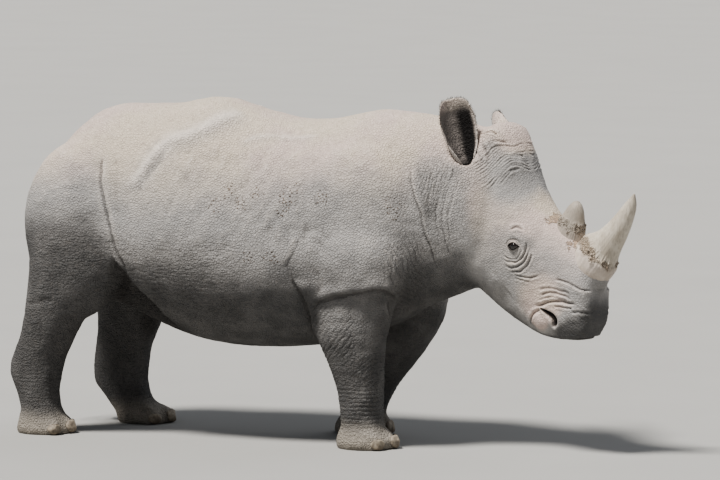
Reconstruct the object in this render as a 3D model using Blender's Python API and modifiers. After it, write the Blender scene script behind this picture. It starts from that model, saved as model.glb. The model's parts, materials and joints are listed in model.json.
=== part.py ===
"""A southern white rhinoceros, life size, standing still with its head low and turned.

Units are metres. +X runs towards the head, +Y to the animal's left and +Z up.
The flesh is modelled whole from lofts and muscle masses, melted into one form, and then
parted with thin cuts into the pieces that a person would name. Eyes, horns and toenails
are pieces of their own, seated in the flesh with the same thin gap.
"""
import math

import bmesh
import bpy
import numpy as np
from mathutils import Matrix, Vector

# ---------------------------------------------------------------- driving dimensions
GAP = 0.0004            # clear space that every cut leaves between two neighbours
SEAT_GAP = 0.0012       # clear space round the roots of the ears and the tail
FORM_VOXEL = 0.015      # grain at which the lofts and masses melt together
BODY_EASE = 26          # rounds of smoothing after the melt, behind the head
HEAD_EASE = 7           # and on the head
BODY_TRIANGLES = 2045   # facets of the body behind the head's neck line
HEAD_TRIANGLES = 1290   # facets of the head, which gets the finer share
EASE_END = 1.08         # place along the body where the body's smoothing has faded out
RING_POINTS = 64        # points round one loft ring

SIDES = {"right": -1.0, "left": 1.0}

# Trunk rings: place along the body, spine height, belly height, half width,
# height of the widest level.
TRUNK_RINGS = [
    (-1.065, 1.130, 0.880, 0.060, 1.000),
    (-1.040, 1.215, 0.810, 0.145, 1.000),
    (-0.975, 1.318, 0.735, 0.245, 1.000),
    (-0.870, 1.428, 0.665, 0.325, 0.990),
    (-0.740, 1.512, 0.612, 0.365, 0.970),
    (-0.580, 1.524, 0.555, 0.392, 0.940),
    (-0.400, 1.526, 0.478, 0.418, 0.900),
    (-0.200, 1.560, 0.425, 0.436, 0.880),
    (0.020, 1.498, 0.413, 0.437, 0.880),
    (0.220, 1.464, 0.422, 0.420, 0.890),
    (0.400, 1.474, 0.450, 0.392, 0.910),
    (0.560, 1.516, 0.500, 0.355, 0.940),
    (0.700, 1.508, 0.560, 0.310, 0.970),
    (0.830, 1.480, 0.640, 0.235, 1.020),
]

# Neck rings: place along the body, sideways drift, top, bottom, half width.
NECK_RINGS = [
    (0.560, 0.000, 1.500, 0.540, 0.330),
    (0.700, 0.000, 1.508, 0.590, 0.310),
    (0.840, -0.010, 1.498, 0.640, 0.280),
    (0.970, -0.026, 1.476, 0.690, 0.245),
    (1.080, -0.050, 1.448, 0.745, 0.200),
    (1.180, -0.080, 1.400, 0.830, 0.130),
]

# The head has its own frame: h runs forward along the mouth, l to the left, u up.
CROWN_AT = (1.222, -0.050, 1.474)       # the top of the crown in the body's frame
CROWN_PLACE = (0.02, 0.48)              # and its h and u in the head's frame
HEAD_YAW = math.radians(-18.0)
HEAD_PITCH = math.radians(28.0)

# Head rings: h, top, bottom, half width, u of the widest level, squareness.
HEAD_RINGS = [
    (-0.150, 0.280, -0.020, 0.120, 0.120, 2.2),
    (-0.070, 0.410, -0.110, 0.152, 0.080, 2.4),
    (0.025, 0.472, -0.170, 0.166, 0.060, 2.7),
    (0.110, 0.440, -0.210, 0.176, 0.050, 2.6),
    (0.190, 0.368, -0.238, 0.184, 0.050, 2.4),
    (0.280, 0.297, -0.262, 0.182, 0.050, 2.2),
    (0.380, 0.248, -0.276, 0.167, 0.040, 2.2),
    (0.480, 0.225, -0.281, 0.145, 0.010, 2.2),
    (0.580, 0.212, -0.275, 0.127, -0.030, 2.3),
    (0.670, 0.178, -0.251, 0.118, -0.060, 2.6),
    (0.740, 0.125, -0.216, 0.111, -0.080, 3.0),
    (0.795, 0.050, -0.184, 0.103, -0.085, 3.4),
    (0.832, -0.020, -0.158, 0.091, -0.088, 3.4),
    (0.850, -0.052, -0.138, 0.068, -0.095, 3.0),
]

# Horn rings in the head's frame: h, u, half length, half width.
HORN_RINGS = {
    "horn_front": [
        (0.690, 0.110, 0.100, 0.086),
        (0.699, 0.170, 0.107, 0.084),
        (0.714, 0.225, 0.096, 0.076),
        (0.731, 0.280, 0.076, 0.064),
        (0.744, 0.345, 0.057, 0.050),
        (0.749, 0.420, 0.043, 0.038),
        (0.747, 0.488, 0.027, 0.024),
        (0.740, 0.540, 0.004, 0.004),
    ],
    "horn_rear": [
        (0.522, 0.165, 0.084, 0.062),
        (0.517, 0.228, 0.074, 0.055),
        (0.508, 0.278, 0.054, 0.045),
        (0.500, 0.318, 0.038, 0.033),
        (0.495, 0.342, 0.022, 0.021),
        (0.493, 0.353, 0.007, 0.007),
    ],
}

EYE_RADIUS = 0.020
EYE_PLACE = (0.372, 0.158, 0.072)       # h, sideways, u of the eyeball's middle

# Ears: root in the head's frame, then the lie of the ear and the way that it opens,
# both in the body's frame.
EAR_LENGTH = 0.310
EAR_THICKNESS = 0.013
EAR_ROWS = 8
EAR_COLUMNS = 9
EAR_SEAT_PART = 0.80     # how much of the ear can lie against the head
EAR_WIDTHS = [0.030, 0.050, 0.070, 0.081, 0.082, 0.070]      # half widths, root to tip
EAR_CURLS = [2.70, 2.10, 1.60, 1.35, 1.20, 1.05]             # half angles of the curl
EARS = {
    "ear_right": ((-0.015, -0.162, 0.240), (-0.17, -0.10, 1.00), (0.55, -0.83, 0.00)),
    "ear_left": ((-0.015, 0.150, 0.285), (-0.42, 0.78, 0.42), (0.80, 0.30, 0.25)),
}

# Tail: middle points (along, up) from inside the rump down to the tip, and radii.
TAIL_RINGS = [
    (-0.985, 1.215, 0.050),
    (-1.060, 1.185, 0.044),
    (-1.108, 1.120, 0.036),
    (-1.122, 1.020, 0.029),
    (-1.122, 0.900, 0.024),
    (-1.120, 0.780, 0.020),
    (-1.118, 0.660, 0.016),
    (-1.117, 0.600, 0.008),
]

# Leg rings: height, middle along the body, half length, half width. The lowest ring is
# under the floor, and the sole is cut flat at the floor.
LEG_RINGS = {
    "front_leg_right": [
        (-0.040, 0.592, 0.120, 0.116),
        (0.000, 0.590, 0.138, 0.130),
        (0.035, 0.586, 0.134, 0.130),
        (0.070, 0.576, 0.112, 0.112),
        (0.110, 0.571, 0.097, 0.098),
        (0.180, 0.568, 0.100, 0.098),
        (0.260, 0.563, 0.110, 0.102),
        (0.370, 0.547, 0.128, 0.115),
        (0.490, 0.527, 0.156, 0.130),
        (0.600, 0.537, 0.170, 0.128),
        (0.720, 0.540, 0.160, 0.120),
        (0.900, 0.530, 0.140, 0.110),
    ],
    "front_leg_left": [
        (-0.040, 0.400, 0.120, 0.116),
        (0.000, 0.400, 0.138, 0.130),
        (0.035, 0.402, 0.134, 0.130),
        (0.070, 0.402, 0.112, 0.112),
        (0.110, 0.412, 0.098, 0.098),
        (0.200, 0.452, 0.103, 0.098),
        (0.320, 0.518, 0.126, 0.114),
        (0.440, 0.584, 0.152, 0.130),
        (0.540, 0.616, 0.173, 0.138),
        (0.640, 0.622, 0.188, 0.140),
        (0.740, 0.595, 0.182, 0.140),
        (0.900, 0.550, 0.150, 0.120),
    ],
    "hind_leg_right": [
        (-0.040, -0.985, 0.114, 0.110),
        (0.000, -0.985, 0.131, 0.125),
        (0.035, -0.988, 0.128, 0.124),
        (0.070, -1.000, 0.107, 0.106),
        (0.120, -1.008, 0.093, 0.092),
        (0.190, -1.022, 0.102, 0.090),
        (0.275, -1.034, 0.130, 0.094),
        (0.350, -1.016, 0.132, 0.100),
        (0.450, -0.972, 0.132, 0.115),
        (0.560, -0.929, 0.149, 0.132),
        (0.680, -0.880, 0.188, 0.148),
        (0.800, -0.845, 0.208, 0.155),
        (0.950, -0.850, 0.200, 0.140),
    ],
    "hind_leg_left": [
        (-0.040, -0.690, 0.114, 0.110),
        (0.000, -0.690, 0.131, 0.125),
        (0.035, -0.697, 0.128, 0.124),
        (0.070, -0.735, 0.112, 0.106),
        (0.120, -0.778, 0.114, 0.092),
        (0.190, -0.812, 0.134, 0.092),
        (0.260, -0.812, 0.138, 0.096),
        (0.370, -0.795, 0.138, 0.108),
        (0.480, -0.764, 0.156, 0.122),
        (0.600, -0.765, 0.172, 0.134),
        (0.720, -0.785, 0.195, 0.145),
        (0.950, -0.830, 0.195, 0.135),
    ],
}
LEG_SIDE = {"front": (0.235, 0.250), "hind": (0.250, 0.240)}    # at the sole and the top
LEG_TOP = 0.70                                                  # height of that top
FOOT_TOP = 0.105                                                # where the foot is parted

# Where each leg parts from the trunk: middle along the body, half length, half width and
# height of the arch over the leg.
LEG_ARCHES = {
    "front_leg_right": (0.560, 0.250, 0.205, 0.735),
    "front_leg_left": (0.590, 0.250, 0.205, 0.735),
    "hind_leg_right": (-0.870, 0.275, 0.205, 0.960),
    "hind_leg_left": (-0.815, 0.265, 0.205, 0.940),
}
ARCH_MARGIN = 0.060

# Toenails: turn from straight ahead, half width and height of each on one foot.
NAIL_TOES = {
    "inner": (-50.0, 0.036, 0.026),
    "middle": (0.0, 0.046, 0.031),
    "outer": (50.0, 0.036, 0.026),
}
NAIL_THICKNESS = 0.009

# The flat cuts across the neck: a point on the cut and the way that it faces.
HEAD_CUT = ((1.040, -0.100, 1.05), (0.95, -0.30, 0.24))
NECK_CUT = ((0.880, 0.0, 1.05), (0.97, -0.06, 0.20))

COLOURS = {     # base colour, roughness
    "skin": ((0.46, 0.43, 0.40), 0.90),
    "foot": ((0.40, 0.36, 0.32), 0.92),
    "horn": ((0.52, 0.45, 0.36), 0.65),
    "nail": ((0.50, 0.44, 0.36), 0.70),
    "eye": ((0.03, 0.02, 0.015), 0.12),
}


# ---------------------------------------------------------------- numbers and frames
def spline(rows, count):
    """Smooth rows of numbers (Catmull-Rom) at `count` even steps."""
    rows = np.asarray(rows, float).reshape(len(rows), -1)
    padded = np.vstack([2 * rows[0] - rows[1], rows, 2 * rows[-1] - rows[-2]])
    places = np.linspace(0, len(rows) - 1, count)
    cells = np.minimum(places.astype(int), len(rows) - 2)
    t = (places - cells)[:, None]
    a, b, c, d = (padded[cells + k] for k in range(4))
    return 0.5 * (2 * b + (c - a) * t + (2 * a - 5 * b + 4 * c - d) * t ** 2
                  + (3 * b - a - 3 * c + d) * t ** 3)


def head_matrix():
    """World matrix of the head's own frame."""
    turn = Matrix.Rotation(HEAD_YAW, 4, "Z") @ Matrix.Rotation(HEAD_PITCH, 4, "Y")
    crown = turn @ Vector((CROWN_PLACE[0], 0.0, CROWN_PLACE[1]))
    return Matrix.Translation(Vector(CROWN_AT) - crown) @ turn


HEAD = head_matrix()


def leg_sign(leg):
    """+1 for a left leg and -1 for a right one."""
    return SIDES[leg.rpartition("_")[2]]


def leg_side(leg, height):
    """How far out of the middle plane a leg runs at this height, signed."""
    low, high = LEG_SIDE[leg.partition("_")[0]]
    part = min(max(height, 0.0) / LEG_TOP, 1.0)
    return leg_sign(leg) * ((1 - part) * low + part * high)


# ---------------------------------------------------------------- shapes
def rounded_ring(half_width, up, down, power=2.0, count=RING_POINTS):
    """Points (sideways, upwards) of a superellipse whose top and bottom differ."""
    angles = np.linspace(0, 2 * math.pi, count, endpoint=False)
    across, rise = np.cos(angles), np.sin(angles)
    side = np.sign(across) * np.abs(across) ** (2 / power) * half_width
    height = np.sign(rise) * np.abs(rise) ** (2 / power) * np.where(rise > 0, up, down)
    return np.stack([side, height], 1)


def loft(name, rings):
    """A closed skin over rings of equal point counts, capped at both ends."""
    mesh = bpy.data.meshes.new(name)
    bm = bmesh.new()
    loops = [[bm.verts.new(point) for point in ring] for ring in rings]
    for low, high in zip(loops, loops[1:]):
        for i in range(len(low)):
            j = (i + 1) % len(low)
            bm.faces.new((low[i], low[j], high[j], high[i]))
    bm.faces.new(loops[0][::-1])
    bm.faces.new(loops[-1])
    bmesh.ops.recalc_face_normals(bm, faces=bm.faces)
    bmesh.ops.triangulate(bm, faces=bm.faces)
    bm.to_mesh(mesh)
    bm.free()
    return mesh


def lengthwise_loft(name, rows, matrix=None, steps=48):
    """Loft along X from rows of (x, y, top, bottom, half width, widest level, squareness)."""
    rings = []
    for x, y, top, bottom, half, widest, power in spline(rows, steps):
        ring = rounded_ring(max(half, 0.005), top - widest, widest - bottom, power)
        rings.append([(x, y + side, widest + rise) for side, rise in ring])
    mesh = loft(name, rings)
    if matrix:
        mesh.transform(matrix)
    return mesh


def leg_loft(name):
    """A leg's form from under the sole up into the body."""
    rings = []
    for z, x, half_length, half_width in spline(LEG_RINGS[name], 44):
        y = leg_side(name, z)
        ring = rounded_ring(half_length, half_width, half_width, 2.15)
        rings.append([(x + along, y + across, z) for along, across in ring])
    return loft(name, rings)


def bent_loft(name, rows, steps, points, grow=0.0):
    """Loft round a centre line in the X-Z plane from rows of (x, z, half length, half
    width), with every ring square to the line."""
    rows = spline(rows, steps)
    ways = np.gradient(rows[:, :2], axis=0)
    rings = []
    for (x, z, half_length, half_width), (dx, dz) in zip(rows, ways):
        size = math.hypot(dx, dz)
        ring = rounded_ring(max(half_width, 0.002) + grow, half_length + grow,
                            half_length + grow, 2.0, points)
        rings.append([(x - dz / size * along, side, z + dx / size * along)
                      for side, along in ring])
    return loft(name, rings)


def mass(name, centre, radii, matrix=None, turn=None, fine=32):
    """An ellipsoid of muscle, fat, bone or horn."""
    bm = bmesh.new()
    bmesh.ops.create_uvsphere(bm, u_segments=fine, v_segments=fine * 5 // 8, radius=1.0)
    mesh = bpy.data.meshes.new(name)
    bm.to_mesh(mesh)
    bm.free()
    mesh.transform(Matrix.Diagonal((*radii, 1.0)))
    if turn:
        mesh.transform(turn)
    mesh.transform(Matrix.Translation(centre))
    if matrix:
        mesh.transform(matrix)
    return mesh


# ---------------------------------------------------------------- mesh tools
def evaluated(mesh, *modifiers, weights=None):
    """The mesh after modifiers, each given as (type, settings), with a vertex group
    called share where weights are given."""
    thing = bpy.data.objects.new("workpiece", mesh)
    bpy.context.scene.collection.objects.link(thing)
    if weights is not None:
        share = thing.vertex_groups.new(name="share")
        for level in range(11):
            share.add(np.flatnonzero(np.rint(weights * 10) == level).tolist(), level / 10,
                      "REPLACE")
    for kind, settings in modifiers:
        step = thing.modifiers.new(kind.lower(), kind)
        for key, value in settings.items():
            setattr(step, key, value)
    graph = bpy.context.evaluated_depsgraph_get()
    graph.update()
    result = bpy.data.meshes.new_from_object(thing.evaluated_get(graph))
    bpy.data.objects.remove(thing)
    return result


def joined(meshes):
    """One mesh that holds several."""
    bm = bmesh.new()
    for mesh in meshes:
        bm.from_mesh(mesh)
    whole = bpy.data.meshes.new("joined")
    bm.to_mesh(whole)
    bm.free()
    return whole


def boolean(mesh, operation, tool):
    """Exact Boolean of one closed mesh with another."""
    cutter = bpy.data.objects.new("cutter", tool)
    bpy.context.scene.collection.objects.link(cutter)
    result = evaluated(mesh, ("BOOLEAN", {"operation": operation, "object": cutter,
                                          "solver": "EXACT"}))
    bpy.data.objects.remove(cutter)
    return result


def grown(mesh, distance=GAP):
    """A copy of the mesh swollen along its corner normals."""
    copy = mesh.copy()
    bm = bmesh.new()
    bm.from_mesh(copy)
    bm.normal_update()
    for vertex, way in [(v, v.normal.copy() * v.calc_shell_factor()) for v in bm.verts]:
        vertex.co += way * distance
    bm.to_mesh(copy)
    bm.free()
    return copy


def halves(mesh, point, facing):
    """The two closed halves of a mesh, ahead of and behind a flat cut."""
    facing = Vector(facing).normalized()
    parts = []
    for sign in (1.0, -1.0):
        bm = bmesh.new()
        bm.from_mesh(mesh)
        everything = bm.verts[:] + bm.edges[:] + bm.faces[:]
        bmesh.ops.bisect_plane(bm, geom=everything, dist=1e-6, clear_inner=True,
                               plane_co=Vector(point) + facing * sign * GAP / 2,
                               plane_no=facing * sign)
        rim = [edge for edge in bm.edges if edge.is_boundary]
        bmesh.ops.holes_fill(bm, edges=rim, sides=0)
        bmesh.ops.triangulate(bm, faces=bm.faces[:])
        bmesh.ops.recalc_face_normals(bm, faces=bm.faces)
        half = bpy.data.meshes.new("half")
        bm.to_mesh(half)
        bm.free()
        parts.append(half)
    return parts


def thinned(mesh, triangles):
    """The mesh with about this many triangles."""
    mesh.calc_loop_triangles()
    ratio = min(1.0, triangles / len(mesh.loop_triangles))
    return evaluated(mesh, ("DECIMATE", {"ratio": ratio}))


# ---------------------------------------------------------------- flesh
def toe_place(leg, turn, reach):
    """A spot over the sole, `turn` degrees outwards from straight ahead."""
    _, x, half_length, half_width = LEG_RINGS[leg][1]
    angle = math.radians(turn) * leg_sign(leg)
    spot = (x + half_length * reach * math.cos(angle),
            leg_side(leg, 0.0) + half_width * reach * math.sin(angle))
    return spot, angle


def toe_pad(leg, turn):
    """The swelling of one toe."""
    (x, y), angle = toe_place(leg, turn, 0.66)
    return mass("toe", (x, y, 0.028), (0.060, 0.048, 0.050),
                turn=Matrix.Rotation(angle, 4, "Z"))


def flesh_forms():
    """Every form that melts into the body."""
    trunk_rows = [(x, 0.0, top, low, half, wide, 2.1)
                  for x, top, low, half, wide in TRUNK_RINGS]
    neck_rows = [(x, y, top, low, half, 0.5 * (top + low), 2.2)
                 for x, y, top, low, half in NECK_RINGS]
    head_rows = [(h, 0.0, *rest) for h, *rest in HEAD_RINGS]
    forms = [
        lengthwise_loft("trunk form", trunk_rows),
        lengthwise_loft("neck form", neck_rows),
        lengthwise_loft("head form", head_rows, HEAD),
        mass("crown", (0.022, 0.0, 0.396), (0.084, 0.150, 0.078), HEAD),
        mass("nose boss", (0.680, 0.0, 0.115), (0.120, 0.088, 0.090), HEAD),
    ]
    for name in LEG_RINGS:
        forms.append(leg_loft(name))
        forms += [toe_pad(name, turn) for turn, _, _ in NAIL_TOES.values()]
    for sign in SIDES.values():
        forms += [
            mass("haunch", (-0.825, sign * 0.205, 0.970), (0.270, 0.185, 0.390)),
            mass("thigh", (-0.820, sign * 0.250, 0.800), (0.215, 0.140, 0.270)),
            mass("shoulder", (0.540, sign * 0.235, 1.030), (0.300, 0.155, 0.360)),
            mass("upper arm", (0.565, sign * 0.248, 0.860), (0.258, 0.172, 0.245)),
            mass("cheek", (0.190, sign * 0.108, -0.070), (0.150, 0.086, 0.165), HEAD),
            mass("brow", (0.360, sign * 0.118, 0.110), (0.100, 0.056, 0.060), HEAD),
            mass("ear root", (-0.060, sign * 0.125, 0.205), (0.060, 0.045, 0.065), HEAD),
            mass("lip corner", (0.752, sign * 0.060, -0.080), (0.074, 0.058, 0.090), HEAD),
        ]
    return forms


def body_halves():
    """The melted flesh without ears and tail: the head, and the body behind its cut."""
    melted = evaluated(joined(flesh_forms()),
                       ("REMESH", {"mode": "VOXEL", "voxel_size": FORM_VOXEL}),
                       ("SMOOTH", {"factor": 0.5, "iterations": HEAD_EASE}))
    places = np.array([vertex.co for vertex in melted.vertices])
    behind_head = np.clip((EASE_END - places[:, 0]) / 0.15, 0, 1)
    above_feet = np.clip((places[:, 2] - FOOT_TOP) / 0.15, 0, 1)
    melted = evaluated(melted, ("SMOOTH", {"factor": 0.5, "iterations": BODY_EASE,
                                           "vertex_group": "share"}),
                       weights=behind_head * above_feet)
    head, body = halves(melted, *HEAD_CUT)
    head = halves(thinned(head, HEAD_TRIANGLES), *HEAD_CUT)[0]
    body = halves(thinned(body, BODY_TRIANGLES), *HEAD_CUT)[1]
    return head, halves(body, (0.0, 0.0, -GAP / 2), (0.0, 0.0, 1.0))[0]


def leg_zone(name, grow=0.0):
    """The closed space that holds one leg, arched over its top."""
    middle, half_length, half_width, height = LEG_ARCHES[name]
    legs = [row for row in LEG_RINGS[name][::2] if row[0] < 0.5 * height]
    rows = [(z - 0.02, x, a + ARCH_MARGIN, b + ARCH_MARGIN) for z, x, a, b in legs]
    for turn in np.linspace(0.16, 0.5, 4) * math.pi:
        spread = max(math.cos(turn), 0.03)
        z = (0.55 + 0.45 * math.sin(turn)) * height
        rows.append((z, middle, half_length * spread, half_width * spread))
    rings = []
    for z, x, half_length, half_width in rows:
        ring = rounded_ring(half_length + grow, half_width + grow, half_width + grow, 2.2, 14)
        y = leg_side(name, z)
        rings.append([(x + along, y + across, z + (grow if z > 0.5 else 0.0))
                      for along, across in ring])
    return loft(name, rings)


def ear_rows(name, parts, turns, swell=0.0):
    """Rows of points over the ear's curled form: `parts` of its length from root to tip,
    `turns` of its curl from edge to edge, `swell` outside its middle surface."""
    root, lie, opening = EARS[name]
    along = Vector(lie).normalized()
    opened = Vector(opening)
    opened = (opened - along * opened.dot(along)).normalized()
    across = along.cross(opened)
    start = HEAD @ Vector(root)
    knots = np.linspace(0, 1, len(EAR_WIDTHS))
    rows = []
    for part in parts:
        width = np.interp(part, knots, EAR_WIDTHS)
        curl = np.interp(part, knots, EAR_CURLS)
        radius = width / math.sin(min(curl, math.pi / 2))
        middle = start + opened * (radius - 0.5 * width)
        row = []
        for turn in turns:
            reach = EAR_LENGTH * part * (1 - 0.13 * part * turn ** 4)
            out = across * math.sin(curl * turn) - opened * math.cos(curl * turn)
            row.append(middle + along * reach + out * (radius + swell))
        rows.append(row)
    return rows


def ear_shell(name):
    """A long curled ear, tubular at its root and open towards its tip."""
    rows = ear_rows(name, np.linspace(0, 1, EAR_ROWS), np.linspace(-1, 1, EAR_COLUMNS))
    bm = bmesh.new()
    grid = [[bm.verts.new(point) for point in row] for row in rows]
    for low, high in zip(grid, grid[1:]):
        for i in range(EAR_COLUMNS - 1):
            bm.faces.new((low[i], low[i + 1], high[i + 1], high[i]))
    sheet = bpy.data.meshes.new(name)
    bm.to_mesh(sheet)
    bm.free()
    thick = ("SOLIDIFY", {"thickness": EAR_THICKNESS, "offset": 0.0})
    return evaluated(sheet, thick, ("TRIANGULATE", {}))


def ear_seat(name):
    """The filled root of an ear, which hollows its seat and the ear hole in the head."""
    parts = [part for part in np.linspace(0, 1, EAR_ROWS) if part < EAR_SEAT_PART]
    turns = np.linspace(-1, 1, EAR_COLUMNS)
    rows = ear_rows(name, [-0.03] + parts, turns, 0.5 * EAR_THICKNESS + SEAT_GAP)
    lift = Vector(EARS[name][2]).normalized() * EAR_THICKNESS
    return loft("ear seat", [[row[0] + lift, *row, row[-1] + lift] for row in rows])


def outside(mesh, host):
    """The part of a mesh that stands clear of its host, without stray scraps."""
    cut = boolean(mesh, "DIFFERENCE", grown(host))
    return largest_body(cut)


def largest_body(mesh):
    """The mesh's largest connected body."""
    bm = bmesh.new()
    bm.from_mesh(mesh)
    left = set(bm.verts)
    bodies = []
    while left:
        stack = [left.pop()]
        body = set(stack)
        while stack:
            for edge in stack.pop().link_edges:
                for vertex in edge.verts:
                    if vertex in left:
                        left.discard(vertex)
                        body.add(vertex)
                        stack.append(vertex)
        bodies.append(body)
    keep = max(bodies, key=len)
    bmesh.ops.delete(bm, geom=[v for v in bm.verts if v not in keep], context="VERTS")
    bm.to_mesh(mesh)
    bm.free()
    return mesh


# ---------------------------------------------------------------- pieces
def tail_rows():
    """The tail's rings, as round as they are long."""
    return [(x, z, radius, radius) for x, z, radius in TAIL_RINGS]


def nail(leg, foot, toe):
    """One broad toenail, wrapped over the front of a foot."""
    turn, half_width, half_height = NAIL_TOES[toe]
    (x, y), angle = toe_place(leg, turn, 0.98)
    blank = mass("nail", (x, y, half_height + 0.002), (0.060, half_width, half_height),
                 turn=Matrix.Rotation(angle, 4, "Z"), fine=8)
    wrap = boolean(blank, "INTERSECT", grown(foot, NAIL_THICKNESS))
    return largest_body(boolean(wrap, "DIFFERENCE", grown(foot)))


def build_pieces():
    """Every named piece as a closed mesh, with the kind of surface it has."""
    head, body = body_halves()
    neck, trunk = halves(body, *NECK_CUT)
    pieces = {}
    for name in LEG_RINGS:
        leg = largest_body(boolean(trunk, "INTERSECT", leg_zone(name)))
        trunk = boolean(trunk, "DIFFERENCE", leg_zone(name, GAP))
        shank, foot = halves(leg, (0.0, 0.0, FOOT_TOP), (0.0, 0.0, 1.0))
        pieces[name] = (shank, "skin")
        pieces[name.replace("leg", "foot")] = (foot, "foot")
        for toe in NAIL_TOES:
            nail_name = name.replace("leg", "nail") + "_" + toe
            pieces[nail_name] = (nail(name, foot, toe), "nail")
    for side, sign in SIDES.items():
        h, out, u = EYE_PLACE
        centre = HEAD @ Vector((h, sign * out, u))
        socket = mass("socket", centre, (EYE_RADIUS + GAP,) * 3, fine=12)
        head = boolean(head, "DIFFERENCE", socket)
        pieces[f"eye_{side}"] = (mass("eye", centre, (EYE_RADIUS,) * 3, fine=12), "eye")
    for name in EARS:
        head = boolean(head, "DIFFERENCE", ear_seat(name))
        pieces[name] = (outside(ear_shell(name), head), "skin")
    for name, rows in HORN_RINGS.items():
        horn = bent_loft(name, rows, 11, 12)
        horn.transform(HEAD)
        pieces[name] = (outside(horn, head), "horn")
    trunk = boolean(trunk, "DIFFERENCE", bent_loft("tail", tail_rows(), 14, 8, SEAT_GAP))
    pieces["tail"] = (bent_loft("tail", tail_rows(), 14, 8), "skin")
    pieces["trunk"] = (largest_body(trunk), "skin")
    pieces["neck"] = (neck, "skin")
    pieces["head"] = (largest_body(head), "skin")
    return pieces


def material(kind):
    """Plain surface of one kind."""
    colour, roughness = COLOURS[kind]
    surface = bpy.data.materials.new(kind)
    surface.use_nodes = True
    shader = surface.node_tree.nodes["Principled BSDF"]
    shader.inputs["Base Color"].default_value = (*colour, 1.0)
    shader.inputs["Roughness"].default_value = roughness
    return surface


def place(pieces):
    """One object for each piece, its origin in its middle, over the floor's origin."""
    corners = np.array([vertex.co for mesh, _ in pieces.values() for vertex in mesh.vertices])
    middle = 0.5 * (corners.min(0) + corners.max(0))
    to_floor = Vector((-middle[0], -middle[1], 0.0))
    collection = bpy.data.collections.new("rhinoceros")
    bpy.context.scene.collection.children.link(collection)
    root = bpy.data.objects.new("rhinoceros root", None)
    collection.objects.link(root)
    for name, (mesh, kind) in pieces.items():
        mesh.transform(Matrix.Translation(to_floor))
        places = np.array([vertex.co for vertex in mesh.vertices])
        centre = Vector(0.5 * (places.min(0) + places.max(0)))
        mesh.transform(Matrix.Translation(-centre))
        mesh.name = name
        mesh.materials.clear()
        mesh.materials.append(material(kind))
        thing = bpy.data.objects.new(name, mesh)
        thing.location = centre
        thing.parent = root
        collection.objects.link(thing)
    return to_floor


def main():
    for thing in list(bpy.data.objects):
        bpy.data.objects.remove(thing)
    shift = place(build_pieces())
    bpy.context.view_layer.update()
    print("moved over the floor's origin by", [round(value, 4) for value in shift])


main()
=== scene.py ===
# %% [markdown]
# # A southern white rhinoceros, life size
# The frame holds the solid animal in named pieces. This lesson dresses it: one seamless
# wrinkled hide replaces the pieces of flesh, and finer eyes, horns, nails and hair take the
# place of the plain ones. All of it is in metres, +X towards the head, +Y to the animal's
# left, +Z up, and everything rides on the single body called root.

# %% Tools and the frame
import json
import math

import bmesh
import bpy
import numpy as np
from mathutils import Matrix, Vector

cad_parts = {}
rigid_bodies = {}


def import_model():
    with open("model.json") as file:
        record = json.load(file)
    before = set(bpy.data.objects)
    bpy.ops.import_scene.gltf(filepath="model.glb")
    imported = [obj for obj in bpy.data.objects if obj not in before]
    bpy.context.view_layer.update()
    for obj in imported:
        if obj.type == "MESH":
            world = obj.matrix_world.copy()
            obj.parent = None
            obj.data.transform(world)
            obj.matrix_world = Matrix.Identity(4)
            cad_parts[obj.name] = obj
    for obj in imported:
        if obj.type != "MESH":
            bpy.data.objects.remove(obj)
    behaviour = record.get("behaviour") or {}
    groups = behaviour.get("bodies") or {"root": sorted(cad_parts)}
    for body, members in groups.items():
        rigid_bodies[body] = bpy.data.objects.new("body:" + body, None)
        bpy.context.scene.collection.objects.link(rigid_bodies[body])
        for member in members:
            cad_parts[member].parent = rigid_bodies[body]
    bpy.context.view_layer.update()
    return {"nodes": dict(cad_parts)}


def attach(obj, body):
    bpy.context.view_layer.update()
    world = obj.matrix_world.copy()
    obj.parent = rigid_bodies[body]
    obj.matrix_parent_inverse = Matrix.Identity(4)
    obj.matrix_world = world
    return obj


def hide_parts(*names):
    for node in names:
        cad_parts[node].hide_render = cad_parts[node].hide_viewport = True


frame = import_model()
SIDES = {"right": -1.0, "left": 1.0}
rng = np.random.default_rng(7)

# %% [markdown]
# ## The head's own frame
# h runs forward along the mouth, l to the left and u up from the mouth line, so that the
# face can be described straight although the head is turned and lowered.

# %% The head's frame
CROWN_PLACE = Vector((0.02, 0.0, 0.48))
TURN = Matrix.Rotation(math.radians(-18.0), 4, "Z") @ Matrix.Rotation(math.radians(28.0), 4, "Y")
CROWN_AT = Vector((0.8686, -0.0499, 1.474))
HEAD = Matrix.Translation(CROWN_AT - TURN @ CROWN_PLACE) @ TURN
OUTWARD, INWARD = np.array(HEAD), np.array(HEAD.inverted())


def head_point(h, l, u):
    """A place on the head, in the animal's own axes."""
    return np.array(HEAD @ Vector((h, l, u)))


def on_head(spots):
    """Many places in the head's frame, as columns h, l, u."""
    return spots @ INWARD[:3, :3].T + INWARD[:3, 3]


def off_head(local):
    """Many places of the head's frame, back in the animal's own axes."""
    return local @ OUTWARD[:3, :3].T + OUTWARD[:3, 3]


def folded(local):
    """Places in the head's frame with its right half laid over its left."""
    return local * [1, 0, 1] + np.abs(local) * [0, 1, 0]


print("the head's frame starts at", [round(v, 3) for v in HEAD.translation])

# %% [markdown]
# ## Working with meshes as arrays
# Every shape below is pushed about as one array of corners, because numpy moves a million of
# them far faster than a loop over Blender's vertices could.

# %% Corners as arrays


def places(mesh):
    """All corner places of a mesh."""
    flat = np.empty(len(mesh.vertices) * 3)
    mesh.vertices.foreach_get("co", flat)
    return flat.reshape(-1, 3)


def set_places(mesh, points):
    """Moves all corners of a mesh."""
    mesh.vertices.foreach_set("co", np.ascontiguousarray(points, dtype=np.float32).ravel())
    mesh.update()


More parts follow.
